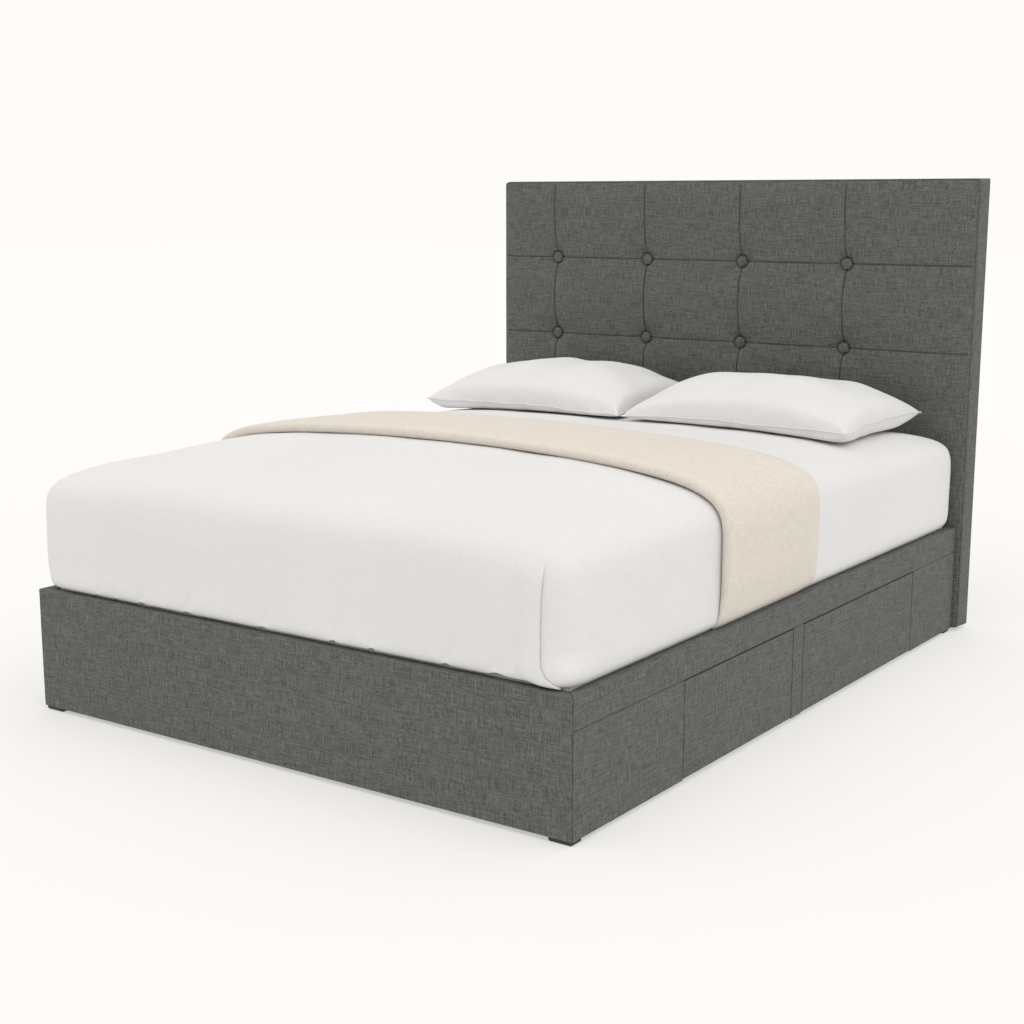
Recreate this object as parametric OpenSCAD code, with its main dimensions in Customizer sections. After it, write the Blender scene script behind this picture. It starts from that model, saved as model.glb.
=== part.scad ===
// Upholstered platform bed with four storage drawers, a button-tufted headboard and its bedding.
// The origin is on the floor under the middle of the whole bed; +Y runs to the headboard, +Z is up.
// Distances along the bed are given from the foot face, and yf() turns them into Y.

/* [Base] */
// Outside width of the base over its fabric
base_w = 1600; // [1590:1:1620]
// Length of the base from its foot face to the headboard
base_l = 2065; // [2062:1:2080]
// Height of the rails' top
rail_top = 314; // [310:1:325]
// Height of the glides under the panels
glide_h = 10; // [8:1:12]
// Thickness of a covered panel
panel_t = 32; // [30:1:34]
// Thickness of the upholstery on its backing
cover_t = 3; // [2:0.5:4]
// Height of the rail above the drawers
rail_h = 73; // [70:1:76]
// Thickness of the bare boards inside the base
board_t = 16; // [15:1:18]

/* [Drawers] */
// Start of the drawer bay nearer the foot
foot_bay_at = 448; // [440:1:455]
// Width of the drawer bay nearer the foot
foot_bay_w = 543; // [530:1:550]
// Width of the upright panel between the two bays
stile_w = 55; // [50:1:60]
// Width of the drawer bay nearer the head
head_bay_w = 703; // [690:1:710]
// Gap round each drawer front
front_gap = 3; // [2:0.5:4]
// Depth of a drawer box
box_depth = 520; // [510:5:560]
// Height of a drawer box
box_h = 160; // [140:5:165]
// Thickness of the drawer box's walls
box_t = 12; // [10:1:15]
// Thickness of the drawer's bottom panel
bottom_t = 5; // [4:1:6]
// Height of the drawer box's lower edge
box_z = 40; // [35:1:45]
// Length of each runner member
runner_l = 500; // [480:5:505]
// Height of a runner's fixed channel
runner_h = 45; // [42:1:48]
// Space for the runner on each side of a drawer box
runner_w = 13; // [13:0.5:14]
// Height of the runner's centre line
runner_z = 112; // [100:1:125]

/* [Deck] */
// Number of slats
slat_count = 14; // [12:1:15]
// Width of a slat
slat_w = 68; // [60:1:75]
// Thickness of a slat
slat_t = 20; // [18:1:22]
// Height of the top of the slats
deck_top = 289; // [285:1:292]

/* [Headboard] */
// Width of the headboard
head_w = 1640; // [1630:1:1660]
// Thickness of the headboard
head_t = 80; // [78:1:90]
// Height of the headboard's top
head_top = 1320; // [1280:5:1360]
// Thickness of the foam
foam_t = 22; // [20:1:25]
// Thickness of the face board
face_t = 8; // [6:1:9]
// Width of the outer uprights
upright_w = 75; // [70:1:80]
// Height of the headboard frame's rails
frame_rail_h = 60; // [50:1:70]
// Diameter of a button
button_d = 34; // [30:1:36]
// Depth of a button's hollow
tuft_depth = 16; // [12:1:17]

/* [Bedding] */
// Width of the mattress at its base
mattress_w = 1530; // [1525:1:1535]
// Length of the mattress
mattress_l = 2030; // [2025:1:2031]
// Height of the middle of the bed's crowned top
crown_top = 672; // [660:1:680]
// Height of the bed's top at the foot and at the pillows
edge_top = 606; // [600:1:612]
// Start of the throw, measured from the foot
throw_at = 620; // [600:5:640]
// Width of the folded throw along the bed
throw_w = 510; // [480:5:520]
// Thickness of the folded throw
throw_t = 20; // [14:1:24]
// Width of a pillow
pillow_w = 700; // [680:5:705]
// Depth of a pillow
pillow_l = 520; // [500:5:530]

/* [Hidden] */
$fn = 48;

total_l = base_l + head_t;
eps = 1;
joint_gap = 0.3;
// outer face, board faces and inner face of a side panel, measured from the bed's middle
side_out = base_w / 2;
board_out = side_out - cover_t;
board_in = side_out - panel_t + cover_t;
side_in = side_out - panel_t;
drawer_top = rail_top - rail_h;
head_bay_at = foot_bay_at + foot_bay_w + stile_w;
fixed_panels = [
    [0, foot_bay_at],
    [foot_bay_at + foot_bay_w, head_bay_at],
    [head_bay_at + head_bay_w, base_l]
];
// slats and what carries them
slat_z = deck_top - slat_t;
bearer_h = 40;
bearer_t = 20;
slat_first = 60;
slat_last = base_l - 35 - slat_w;
spine_t = 18;
cross_t = 22;
partition_top = slat_z - bearer_h - 3;
lip_bottom = slat_z - bearer_h;
// drawer fronts
front_t = 22;
turn_t = 1;
turn_w = 25;
front_bottom = glide_h + 2;
front_top = drawer_top - front_gap;
front_back = side_out - cover_t - front_t;
box_front = front_back - turn_t;
groove = 6;
bottom_rise = 6;
// runner sections, as [distance of the web from the fixed face, reach towards the other member]
sheet = 1.5;
channel_reach = 11;
middle_web = 3;
middle_reach = 7.5;
middle_h = runner_h - 7;
inner_reach = 7;
inner_h = runner_h - 15;
// glides
glide_l = 56;
glide_w = 36;
glide_in = 5;
// fasteners
bolt_r = 3;
bolt_head_r = 6;
bolt_head_h = 4;
bolt_l = 20;
bracket_t = 3;
bracket_leg = 60;
bracket_h = 140;
bracket_z = 60;
corner_bolt_at = 32;
corner_bolt_zs = [90, 170];
head_bolt_r = 4;
head_bolt_x = head_w / 2 - cover_t - upright_w + 13;
head_bolt_zs = [90, 170];
hole_play = 0.15;
// headboard layers, measured from the headboard's front face
foam_at = cover_t;
face_at = foam_at + foam_t;
frame_at = face_at + face_t;
cloth_t = 1;
cloth_at = head_t - cover_t - cloth_t;
lip_w = 45;
frame_inner = 0.3;
mid_upright_w = 60;
frame_rail_zs = [45, 560, 947, 1240];
tuft_xs = [-613, -269, 71, 419];
tuft_zs = [822, 1073];
button_h = 8;
tie_r = 1.5;
washer_r = 12;
washer_h = 3;
// bedding
bed_fn = 20;
low_r = 60;
mid_r = 80;
top_r = 90;
bulge_z = 436;
bulge_x = 788;
bulge_foot = 12;
mattress_head = base_l - 2;
mattress_foot = mattress_head - mattress_l;
crown_edge_top = crown_top - 36;
crown_x = 330;
crown_at = [430, 900];
skin_t = 3.5;
casing_t = 12;
soft_gap = 0.5;
pillow_h = 220;
pillow_z = 652;
pillow_tilt = 0.8;
pillow_mid = base_l - 58 - pillow_l / 2;
pillow_skin = 6;
pillow_xs = [350, -362];
pillow_edge = 8;
pillow_corner = 26;

function yf(distance) = distance - total_l / 2;

module on_side(side) {
    mirror([side < 0 ? 1 : 0, 0, 0]) children();
}

module box(x, y, z) {
    translate([x[0], y[0], z[0]]) cube([x[1] - x[0], y[1] - y[0], z[1] - z[0]]);
}

// a board or skin of the right-hand side, mitred where it meets the foot panel
module side_prism(x, end, z, inset) {
    foot_end = side_out - x[1];
    translate([0, 0, z[0]])
        linear_extrude(z[1] - z[0])
            polygon([
                [x[1], yf(foot_end + inset)],
                [x[1], yf(end)],
                [x[0], yf(end)],
                [x[0], yf(side_out - x[0] + inset)]
            ]);
}

// the foot panel's prism between two depths, mitred at both ends
module foot_prism(depth, z, inset) {
    outer = side_out - depth[0] - inset;
    inner = side_out - depth[1] - inset;
    translate([0, 0, z[0]])
        linear_extrude(z[1] - z[0])
            polygon([
                [-outer, yf(depth[0])],
                [outer, yf(depth[0])],
                [inner, yf(depth[1])],
                [-inner, yf(depth[1])]
            ]);
}

module bolt_hole_x(side, y, z, depth) {
    on_side(side)
        translate([board_in - eps, y, z])
            rotate([0, 90, 0]) cylinder(r = bolt_r + hole_play, h = depth + eps);
}

module bolt_hole_y(x, z, depth) {
    translate([x, yf(panel_t - cover_t) + eps, z])
        rotate([90, 0, 0]) cylinder(r = bolt_r + hole_play, h = depth + eps);
}

/* ---- foot panel ---- */

module foot_panel_board() {
    color("burlywood")
        difference() {
            foot_prism([cover_t, panel_t - cover_t], [glide_h + cover_t, rail_top - cover_t], joint_gap);
            for (side = [-1, 1], z = corner_bolt_zs)
                bolt_hole_y(side * (board_in - corner_bolt_at), z, bolt_l - bracket_t);
        }
}

module foot_panel_cover() {
    color("dimgray")
        difference() {
            foot_prism([0, panel_t], [glide_h, rail_top], joint_gap);
            foot_prism([cover_t, panel_t - cover_t], [glide_h + cover_t, rail_top - cover_t], -eps);
            box([-side_out, side_out], [yf(panel_t - cover_t) - joint_gap, yf(panel_t) + eps],
                [glide_h - eps, lip_bottom]);
        }
}

/* ---- side panels ---- */

module side_rail(side) {
    color("burlywood")
        on_side(side)
            side_prism([board_in, board_out], base_l, [drawer_top + cover_t, rail_top - cover_t], joint_gap);
}

module panel_core(start, end, top) {
    intersection() {
        side_prism([board_in, board_out], base_l, [glide_h + cover_t, top], joint_gap);
        box([0, side_out], [yf(start), yf(end)], [0, rail_top]);
    }
}

module side_panels(side) {
    color("burlywood")
        difference() {
            on_side(side)
                for (p = fixed_panels)
                    panel_core(
                        p[0] == 0 ? 0 : p[0] + cover_t,
                        p[1] == base_l ? base_l : p[1] - cover_t,
                        drawer_top + cover_t - joint_gap
                    );
            for (z = corner_bolt_zs)
                bolt_hole_x(side, yf(panel_t - cover_t + corner_bolt_at), z, bolt_l - bracket_t);
        }
}

module side_cover(side) {
    color("dimgray")
        on_side(side)
            difference() {
                side_prism([side_in, side_out], base_l, [glide_h, rail_top], joint_gap);
                side_prism([board_in, board_out], base_l + eps, [drawer_top + cover_t, rail_top - cover_t], -eps);
                for (p = fixed_panels)
                    intersection() {
                        side_prism([board_in, board_out], base_l + eps,
                            [glide_h + cover_t, drawer_top + 2 * cover_t], -eps);
                        box([0, side_out],
                            [yf(p[0] == 0 ? -eps : p[0] + cover_t), yf(p[1] == base_l ? base_l + eps : p[1] - cover_t)],
                            [0, rail_top]);
                    }
                for (p = [[foot_bay_at, foot_bay_w], [head_bay_at, head_bay_w]])
                    box([side_in - eps, side_out + eps], [yf(p[0]), yf(p[0] + p[1])], [0, drawer_top]);
                box([side_in - eps, board_in + joint_gap], [yf(0), yf(base_l) + eps], [0, lip_bottom]);
            }
}

/* ---- boards inside the base ---- */

module head_cross_board() {
    color("tan")
        difference() {
            box([-side_in, side_in], [yf(base_l - bracket_t - cross_t), yf(base_l - bracket_t)],
                [glide_h, slat_z - bracket_t]);
            head_bolt_holes();
        }
}

// the spine is notched at the foot, where the cover is turned in behind the board
module centre_spine() {
    color("tan")
        difference() {
            box([-spine_t / 2, spine_t / 2],
                [yf(panel_t - cover_t), yf(base_l - bracket_t - cross_t) - joint_gap],
                [glide_h, slat_z]);
            box([-spine_t, spine_t],
                [yf(panel_t - cover_t) - eps, yf(panel_t) + joint_gap],
                [lip_bottom - joint_gap, slat_z + eps]);
        }
}

// the two half boards on either side of the spine whose faces start at the given distance
module partition_pair(start) {
    for (side = [-1, 1])
        on_side(side)
            box([spine_t / 2 + joint_gap, board_in], [yf(start), yf(start + board_t)], [glide_h, partition_top]);
}

module bay_partitions(bay_at, bay_w) {
    color("tan") {
        partition_pair(bay_at - board_t);
        partition_pair(bay_at + bay_w);
    }
}

module slat_bearers() {
    color("peru")
        for (side = [-1, 1])
            on_side(side)
                box([side_in - bearer_t, side_in], [yf(panel_t), yf(base_l - bracket_t - cross_t) - joint_gap],
                    [slat_z - bearer_h, slat_z]);
}

module deck_slats() {
    pitch = (slat_last - slat_first) / (slat_count - 1);
    color("wheat")
        for (i = [0 : slat_count - 1])
            box([-side_in + 2, side_in - 2],
                [yf(slat_first + i * pitch), yf(slat_first + i * pitch + slat_w)],
                [slat_z, deck_top]);
}

/* ---- glides ---- */

module glide(x, distance) {
    chamfer = 2;
    translate([x, yf(distance), 0]) {
        translate([-glide_l / 2, -glide_w / 2, chamfer]) cube([glide_l, glide_w, glide_h - chamfer]);
        translate([-glide_l / 2 + chamfer, -glide_w / 2 + chamfer, 0])
            cube([glide_l - 2 * chamfer, glide_w - 2 * chamfer, chamfer]);
    }
}

module glide_feet() {
    corner_x = side_out - glide_in - glide_l / 2;
    bays = [foot_bay_at - board_t / 2, foot_bay_at + foot_bay_w + board_t / 2,
        head_bay_at - board_t / 2, head_bay_at + head_bay_w + board_t / 2];
    color("black") {
        for (side = [-1, 1]) {
            glide(side * corner_x, glide_in + glide_w / 2);
            glide(side * corner_x, base_l - glide_in - glide_w / 2);
            glide(side * (head_w / 2 - 60), base_l + head_t / 2 + 4);
            for (b = [bays[0], bays[3]])
                glide(side * side_out * 0.5, b);
            glide(side * side_out * 0.5, (bays[1] + bays[2]) / 2);
        }
        for (d = [150, 720, 1400, base_l - 120])
            glide(0, d);
    }
}

/* ---- steel parts ---- */

module corner_brackets() {
    color("silver")
        for (side = [-1, 1])
            on_side(side)
                difference() {
                    translate([board_in, yf(panel_t - cover_t), bracket_z])
                        rotate([0, 0, 90]) corner_angle();
                    for (z = corner_bolt_zs) {
                        translate([board_in - corner_bolt_at, yf(panel_t) + eps, z])
                            rotate([90, 0, 0]) cylinder(r = bolt_r + hole_play, h = panel_t);
                        translate([side_in - bracket_t - eps, yf(panel_t - cover_t + corner_bolt_at), z])
                            rotate([0, 90, 0]) cylinder(r = bolt_r + hole_play, h = panel_t);
                    }
                }
}

// an L of sheet steel whose outer corner is at the origin and whose legs run along +X and +Y
module corner_angle() {
    cube([bracket_leg, bracket_t, bracket_h]);
    cube([bracket_t, bracket_leg, bracket_h]);
}

// a round-headed bolt along +Z whose head stands below the origin plane
module bolt(shank_r, shank_l, cap_r, cap_h) {
    translate([0, 0, -cap_h]) cylinder(r = cap_r, h = cap_h);
    cylinder(r = shank_r, h = shank_l);
}

module corner_bolts() {
    color("gray")
        for (side = [-1, 1], z = corner_bolt_zs)
            on_side(side) {
                translate([board_in - corner_bolt_at, yf(panel_t - cover_t + bracket_t), z])
                    rotate([90, 0, 0]) bolt(bolt_r, bolt_l - 1, bolt_head_r, bolt_head_h);
                translate([board_in - bracket_t, yf(panel_t - cover_t + corner_bolt_at), z])
                    rotate([0, 90, 0]) bolt(bolt_r, bolt_l - 1, bolt_head_r, bolt_head_h);
            }
}

module headboard_brackets() {
    color("silver")
        for (side = [-1, 1])
            difference() {
                on_side(side) {
                    box([board_in - bracket_t, board_in], [yf(base_l - bracket_leg), yf(base_l)],
                        [bracket_z, bracket_z + bracket_h]);
                    box([board_in - bracket_leg - bracket_t, board_in], [yf(base_l - bracket_t), yf(base_l)],
                        [bracket_z, bracket_z + bracket_h]);
                }
                head_bolt_holes();
            }
}

module head_bolt_holes() {
    for (side = [-1, 1], z = head_bolt_zs)
        translate([side * head_bolt_x, yf(base_l - cross_t - bracket_t) - eps, z])
            rotate([-90, 0, 0]) cylinder(r = head_bolt_r + hole_play, h = cross_t + head_t - 8);
}

module headboard_bolts() {
    color("gray")
        for (side = [-1, 1], z = head_bolt_zs)
            translate([side * head_bolt_x, yf(base_l - cross_t - bracket_t), z])
                rotate([-90, 0, 0]) bolt(head_bolt_r, cross_t + head_t - 12, 8, 5);
}

/* ---- headboard ---- */

// a block between two depths of the headboard, inset from its outline
module head_block(from, to, inset) {
    box([-head_w / 2 + inset, head_w / 2 - inset], [yf(base_l + from), yf(base_l + to)],
        [glide_h + inset, head_top - inset]);
}

module at_tufts() {
    for (x = tuft_xs, z = tuft_zs)
        translate([x, yf(base_l), z])
            rotate([-90, 0, 0]) children();
}

module headboard_frame() {
    outer = head_w / 2 - cover_t;
    bottom = glide_h + cover_t;
    top = head_top - cover_t;
    y = [yf(base_l + frame_at), yf(base_l + cloth_at)];
    color("burlywood")
        difference() {
            union() {
                for (side = [-1, 1])
                    on_side(side) {
                        box([outer - upright_w, outer], y, [bottom, top]);
                        for (z = frame_rail_zs)
                            box([mid_upright_w / 2 + frame_inner, outer - upright_w - frame_inner], y,
                                [z, z + frame_rail_h]);
                    }
                box([-mid_upright_w / 2, mid_upright_w / 2], y, [bottom, top]);
            }
            head_bolt_holes();
        }
}

module headboard_face_board() {
    color("peru")
        difference() {
            head_block(face_at, frame_at, cover_t);
            head_bolt_holes();
            at_tufts() cylinder(r = tie_r + hole_play, h = head_t);
        }
}

module headboard_foam() {
    color("lemonchiffon")
        difference() {
            head_block(foam_at, face_at, cover_t);
            head_bolt_holes();
            at_tufts() {
                cylinder(r = button_d / 2 + cover_t + 2, h = tuft_depth + cover_t);
                cylinder(r = tie_r + hole_play, h = head_t);
            }
        }
}

module headboard_cover() {
    color("dimgray")
        difference() {
            union() {
                difference() {
                    head_block(0, head_t, 0);
                    head_block(cover_t, head_t - cover_t, cover_t);
                    head_block(head_t - 2 * cover_t, head_t + eps, lip_w);
                }
                at_tufts() cylinder(r = button_d / 2 + cover_t + 1, h = tuft_depth + cover_t - joint_gap);
            }
            at_tufts() {
                translate([0, 0, -eps]) cylinder(r = button_d / 2 + 1, h = tuft_depth + eps);
                cylinder(r = tie_r + hole_play, h = head_t / 2);
            }
            head_bolt_holes();
        }
}

module headboard_back_cloth() {
    color("black")
        head_block(cloth_at, cloth_at + cloth_t, cover_t + 2);
}

module headboard_buttons() {
    color("dimgray")
        at_tufts()
            translate([0, 0, tuft_depth - button_h]) {
                rotate_extrude()
                    intersection() {
                        translate([0, 22]) circle(r = 22, $fn = 96);
                        square([button_d / 2, button_h - joint_gap]);
                    }
            }
}

module button_ties() {
    color("saddlebrown")
        at_tufts() {
            translate([0, 0, tuft_depth]) cylinder(r = tie_r, h = frame_at - tuft_depth + washer_h);
            translate([0, 0, frame_at]) cylinder(r = washer_r, h = washer_h);
        }
}

/* ---- bedding ---- */

module edge_ball(x, distance, top, r, grow) {
    for (side = [-1, 1])
        translate([side * (x - r), yf(distance), top - r]) sphere(r = r + grow, $fn = bed_fn);
}

// the bulging, crowned block of the made bed, grown outwards by the given amount
module bedding_form(grow) {
    hull() {
        for (d = [mattress_foot + low_r - 10, mattress_head - low_r])
            edge_ball(mattress_w / 2 + 13, d, deck_top + 2 * low_r, low_r, grow);
        for (d = [bulge_foot + mid_r, mattress_head - mid_r])
            edge_ball(bulge_x, d, bulge_z + mid_r, mid_r, grow);
        for (d = [bulge_foot + 10 + top_r, mattress_head - top_r])
            edge_ball(bulge_x - 8, d, edge_top, top_r, grow);
        for (d = crown_at) {
            edge_ball(bulge_x - 6, d, crown_edge_top, top_r, grow);
            edge_ball(crown_x, d, crown_top, top_r, grow);
        }
    }
}

module mattress() {
    color("ivory")
        difference() {
            bedding_form(-skin_t - soft_gap);
            bedding_form(-skin_t - soft_gap - casing_t);
        }
}

module bed_cover() {
    color("white")
        difference() {
            bedding_form(0);
            bedding_form(-skin_t);
        }
}

module throw() {
    color("antiquewhite")
        intersection() {
            difference() {
                bedding_form(throw_t + soft_gap);
                bedding_form(soft_gap);
            }
            box([-side_out, side_out], [yf(throw_at), yf(throw_at + throw_w)], [rail_top + 1, head_top]);
        }
}

// a cushion with a thin edge all round, grown outwards by the given amount
module pillow_form(x, grow) {
    translate([x, yf(pillow_mid), pillow_z])
        rotate([pillow_tilt, 0, 0])
            hull() {
                for (sx = [-1, 1], sy = [-1, 1])
                    translate([
                        sx * (pillow_w / 2 - pillow_corner),
                        sy * (pillow_l / 2 - pillow_corner),
                        -pillow_edge / 2
                    ])
                        cylinder(r = pillow_corner + grow, h = pillow_edge, $fn = 16);
                scale([pillow_w * 0.4 + grow, pillow_l * 0.4 + grow, pillow_h / 2 + grow])
                    sphere(r = 1, $fn = 32);
            }
}

// everything below the sloping top of the bed at the pillows, raised by the given amount
module below_pillows(raise) {
    slope = atan((crown_top - edge_top) / (mattress_head - top_r - crown_at[1]));
    translate([0, yf(crown_at[1]), crown_top + raise])
        rotate([-slope, 0, 0])
            translate([-side_out, 0, -crown_top]) cube([base_w, base_l, crown_top]);
}

module pillow(x) {
    color("white")
        difference() {
            pillow_form(x, 0);
            below_pillows(2 * soft_gap);
            difference() {
                pillow_form(x, -pillow_skin);
                below_pillows(2 * soft_gap + pillow_skin);
            }
        }
}

/* ---- runners ---- */

// places a right-hand runner's section, with its fixed face on the given bay wall
module on_bay_wall(wall, facing) {
    translate([box_front - box_t - runner_l + 2, yf(wall), runner_z])
        mirror([0, facing < 0 ? 1 : 0, 0])
            children();
}

// a lipped channel of sheet steel: its web stands off the wall and its lips reach by the given amount
module runner_member(web, reach, height, towards_wall) {
    lip_at = towards_wall ? web + sheet - reach : web;
    translate([0, web, -height / 2]) cube([runner_l, sheet, height]);
    for (z = [-height / 2, height / 2 - sheet])
        translate([0, lip_at, z]) cube([runner_l, reach, sheet]);
}

module runner_channels() {
    color("silver")
        for (side = [-1, 1])
            on_side(side)
                for (bay = [[foot_bay_at, foot_bay_w], [head_bay_at, head_bay_w]]) {
                    on_bay_wall(bay[0], 1) runner_member(0, channel_reach, runner_h, false);
                    on_bay_wall(bay[0] + bay[1], -1) runner_member(0, channel_reach, runner_h, false);
                }
}

module runner_middle(side, bay_at, bay_w) {
    color("lightgray")
        on_side(side) {
            on_bay_wall(bay_at, 1) runner_member(middle_web, middle_reach, middle_h, false);
            on_bay_wall(bay_at + bay_w, -1) runner_member(middle_web, middle_reach, middle_h, false);
        }
}

module runner_inner(side, bay_at, bay_w) {
    color("gray")
        on_side(side) {
            on_bay_wall(bay_at, 1) runner_member(runner_w - sheet, inner_reach, inner_h, true);
            on_bay_wall(bay_at + bay_w, -1) runner_member(runner_w - sheet, inner_reach, inner_h, true);
        }
}

/* ---- drawers ---- */

module front_board(side, bay_at, bay_w) {
    inset = front_gap + cover_t;
    color("burlywood")
        on_side(side)
            box([front_back, board_out], [yf(bay_at + inset), yf(bay_at + bay_w - inset)],
                [front_bottom + cover_t, front_top - cover_t]);
}

module front_cover(side, bay_at, bay_w) {
    inset = front_gap + cover_t;
    color("dimgray")
        on_side(side)
            difference() {
                box([box_front, side_out], [yf(bay_at + front_gap), yf(bay_at + bay_w - front_gap)],
                    [front_bottom, front_top]);
                box([front_back, board_out], [yf(bay_at + inset), yf(bay_at + bay_w - inset)],
                    [front_bottom + cover_t, front_top - cover_t]);
                box([box_front - eps, front_back + eps],
                    [yf(bay_at + inset + turn_w), yf(bay_at + bay_w - inset - turn_w)],
                    [front_bottom + cover_t + turn_w, front_top - cover_t - turn_w]);
            }
}

module drawer_box(side, bay_at, bay_w) {
    y = [yf(bay_at + runner_w), yf(bay_at + bay_w - runner_w)];
    x = [box_front - box_depth, box_front - joint_gap];
    color("wheat")
        on_side(side)
            difference() {
                box(x, y, [box_z, box_z + box_h]);
                box([x[0] + box_t, x[1] - box_t], [y[0] + box_t, y[1] - box_t], [box_z - eps, box_z + box_h + eps]);
                box([x[0] + box_t - groove, x[1] - box_t + groove], [y[0] + box_t - groove, y[1] - box_t + groove],
                    [box_z + bottom_rise - joint_gap, box_z + bottom_rise + bottom_t + joint_gap]);
            }
}

module drawer_bottom(side, bay_at, bay_w) {
    y = [yf(bay_at + runner_w), yf(bay_at + bay_w - runner_w)];
    x = [box_front - box_depth, box_front - joint_gap];
    inset = box_t - groove + joint_gap;
    color("bisque")
        on_side(side)
            box([x[0] + inset, x[1] - inset], [y[0] + inset, y[1] - inset],
                [box_z + bottom_rise, box_z + bottom_rise + bottom_t]);
}

foot_panel_board();
foot_panel_cover();
side_rail(1);  // side_rail_right
side_rail(-1);  // side_rail_left
side_panels(1);  // side_panels_right
side_panels(-1);  // side_panels_left
side_cover(1);  // side_cover_right
side_cover(-1);  // side_cover_left
head_cross_board();
centre_spine();
bay_partitions(foot_bay_at, foot_bay_w);  // foot_bay_partitions
bay_partitions(head_bay_at, head_bay_w);  // head_bay_partitions
slat_bearers();
deck_slats();
glide_feet();
runner_channels();
corner_brackets();
corner_bolts();
headboard_brackets();
headboard_bolts();
headboard_frame();
headboard_face_board();
headboard_foam();
headboard_cover();
headboard_back_cloth();
headboard_buttons();
button_ties();
mattress();
bed_cover();
throw();
pillow(pillow_xs[0]);  // pillow_right
pillow(pillow_xs[1]);  // pillow_left
front_board(1, foot_bay_at, foot_bay_w);  // drawer_foot_right_front_board
front_cover(1, foot_bay_at, foot_bay_w);  // drawer_foot_right_front_cover
drawer_box(1, foot_bay_at, foot_bay_w);  // drawer_foot_right_box
drawer_bottom(1, foot_bay_at, foot_bay_w);  // drawer_foot_right_bottom
runner_inner(1, foot_bay_at, foot_bay_w);  // drawer_foot_right_runner_inner
runner_middle(1, foot_bay_at, foot_bay_w);  // drawer_foot_right_runner_middle
front_board(1, head_bay_at, head_bay_w);  // drawer_head_right_front_board
front_cover(1, head_bay_at, head_bay_w);  // drawer_head_right_front_cover
drawer_box(1, head_bay_at, head_bay_w);  // drawer_head_right_box
drawer_bottom(1, head_bay_at, head_bay_w);  // drawer_head_right_bottom
runner_inner(1, head_bay_at, head_bay_w);  // drawer_head_right_runner_inner
runner_middle(1, head_bay_at, head_bay_w);  // drawer_head_right_runner_middle
front_board(-1, foot_bay_at, foot_bay_w);  // drawer_foot_left_front_board
front_cover(-1, foot_bay_at, foot_bay_w);  // drawer_foot_left_front_cover
drawer_box(-1, foot_bay_at, foot_bay_w);  // drawer_foot_left_box
drawer_bottom(-1, foot_bay_at, foot_bay_w);  // drawer_foot_left_bottom
runner_inner(-1, foot_bay_at, foot_bay_w);  // drawer_foot_left_runner_inner
runner_middle(-1, foot_bay_at, foot_bay_w);  // drawer_foot_left_runner_middle
front_board(-1, head_bay_at, head_bay_w);  // drawer_head_left_front_board
front_cover(-1, head_bay_at, head_bay_w);  // drawer_head_left_front_cover
drawer_box(-1, head_bay_at, head_bay_w);  // drawer_head_left_box
drawer_bottom(-1, head_bay_at, head_bay_w);  // drawer_head_left_bottom
runner_inner(-1, head_bay_at, head_bay_w);  // drawer_head_left_runner_inner
runner_middle(-1, head_bay_at, head_bay_w);  // drawer_head_left_runner_middle
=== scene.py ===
"""Looks of an upholstered platform bed with four storage drawers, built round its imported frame.

Lengths are in metres in the frame's own axes: +X to the right-hand drawers, +Y to the headboard, +Z up.
"""

import logging
import math
from dataclasses import dataclass, field
from enum import Enum
from typing import Sequence

import bpy
import numpy as np
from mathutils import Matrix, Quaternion, Vector
from mathutils.bvhtree import BVHTree


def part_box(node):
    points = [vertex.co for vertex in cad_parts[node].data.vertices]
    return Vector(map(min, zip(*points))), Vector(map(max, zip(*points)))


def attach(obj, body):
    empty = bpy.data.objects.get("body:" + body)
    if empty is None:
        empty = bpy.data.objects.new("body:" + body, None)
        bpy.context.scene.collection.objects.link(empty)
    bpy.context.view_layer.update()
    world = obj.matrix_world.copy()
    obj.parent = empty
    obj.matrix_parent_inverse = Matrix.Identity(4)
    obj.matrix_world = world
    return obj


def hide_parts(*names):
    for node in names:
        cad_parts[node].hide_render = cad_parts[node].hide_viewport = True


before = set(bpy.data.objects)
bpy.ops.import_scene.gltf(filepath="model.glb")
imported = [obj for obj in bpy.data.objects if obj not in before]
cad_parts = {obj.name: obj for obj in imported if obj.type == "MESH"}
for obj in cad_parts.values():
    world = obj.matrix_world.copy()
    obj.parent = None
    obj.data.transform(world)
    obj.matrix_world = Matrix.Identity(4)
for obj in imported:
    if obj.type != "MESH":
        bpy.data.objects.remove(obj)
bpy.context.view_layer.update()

LOG = logging.getLogger("bed")
MM = 0.001
ROOT = "root"
FULL_TURN = 2 * math.pi
Colour = tuple[float, float, float]
Socket = bpy.types.NodeSocket
Piece = bpy.types.Object
Mesh = tuple[np.ndarray, Sequence[Sequence[int]]]


# ---------------------------------------------------------------- meshes


def mesh_object(name: str, points: np.ndarray, faces: Sequence[Sequence[int]]) -> Piece:
    """Make a smooth-shaded mesh object in the scene.

    Args:
        name: the piece's name.
        points: its vertices, one row each.
        faces: the vertex numbers of each face.

    Returns:
        The new object.
    """
    mesh = bpy.data.meshes.new(name)
    mesh.from_pydata([tuple(p) for p in points], [], [tuple(int(i) for i in f) for f in faces])
    mesh.polygons.foreach_set("use_smooth", [True] * len(mesh.polygons))
    mesh.update()
    piece = bpy.data.objects.new(name, mesh)
    bpy.context.scene.collection.objects.link(piece)
    return piece


def read_points(data: bpy.types.Mesh, what: str = "co") -> np.ndarray:
    """Read a value of every vertex.

    Args:
        data: the mesh.
        what: co for the places, normal for the normals.

    Returns:
        The values, one row for each vertex.
    """
    values = np.zeros(len(data.vertices) * 3, np.float32)
    data.vertices.foreach_get(what, values)
    return values.reshape(-1, 3).astype(float)


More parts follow.
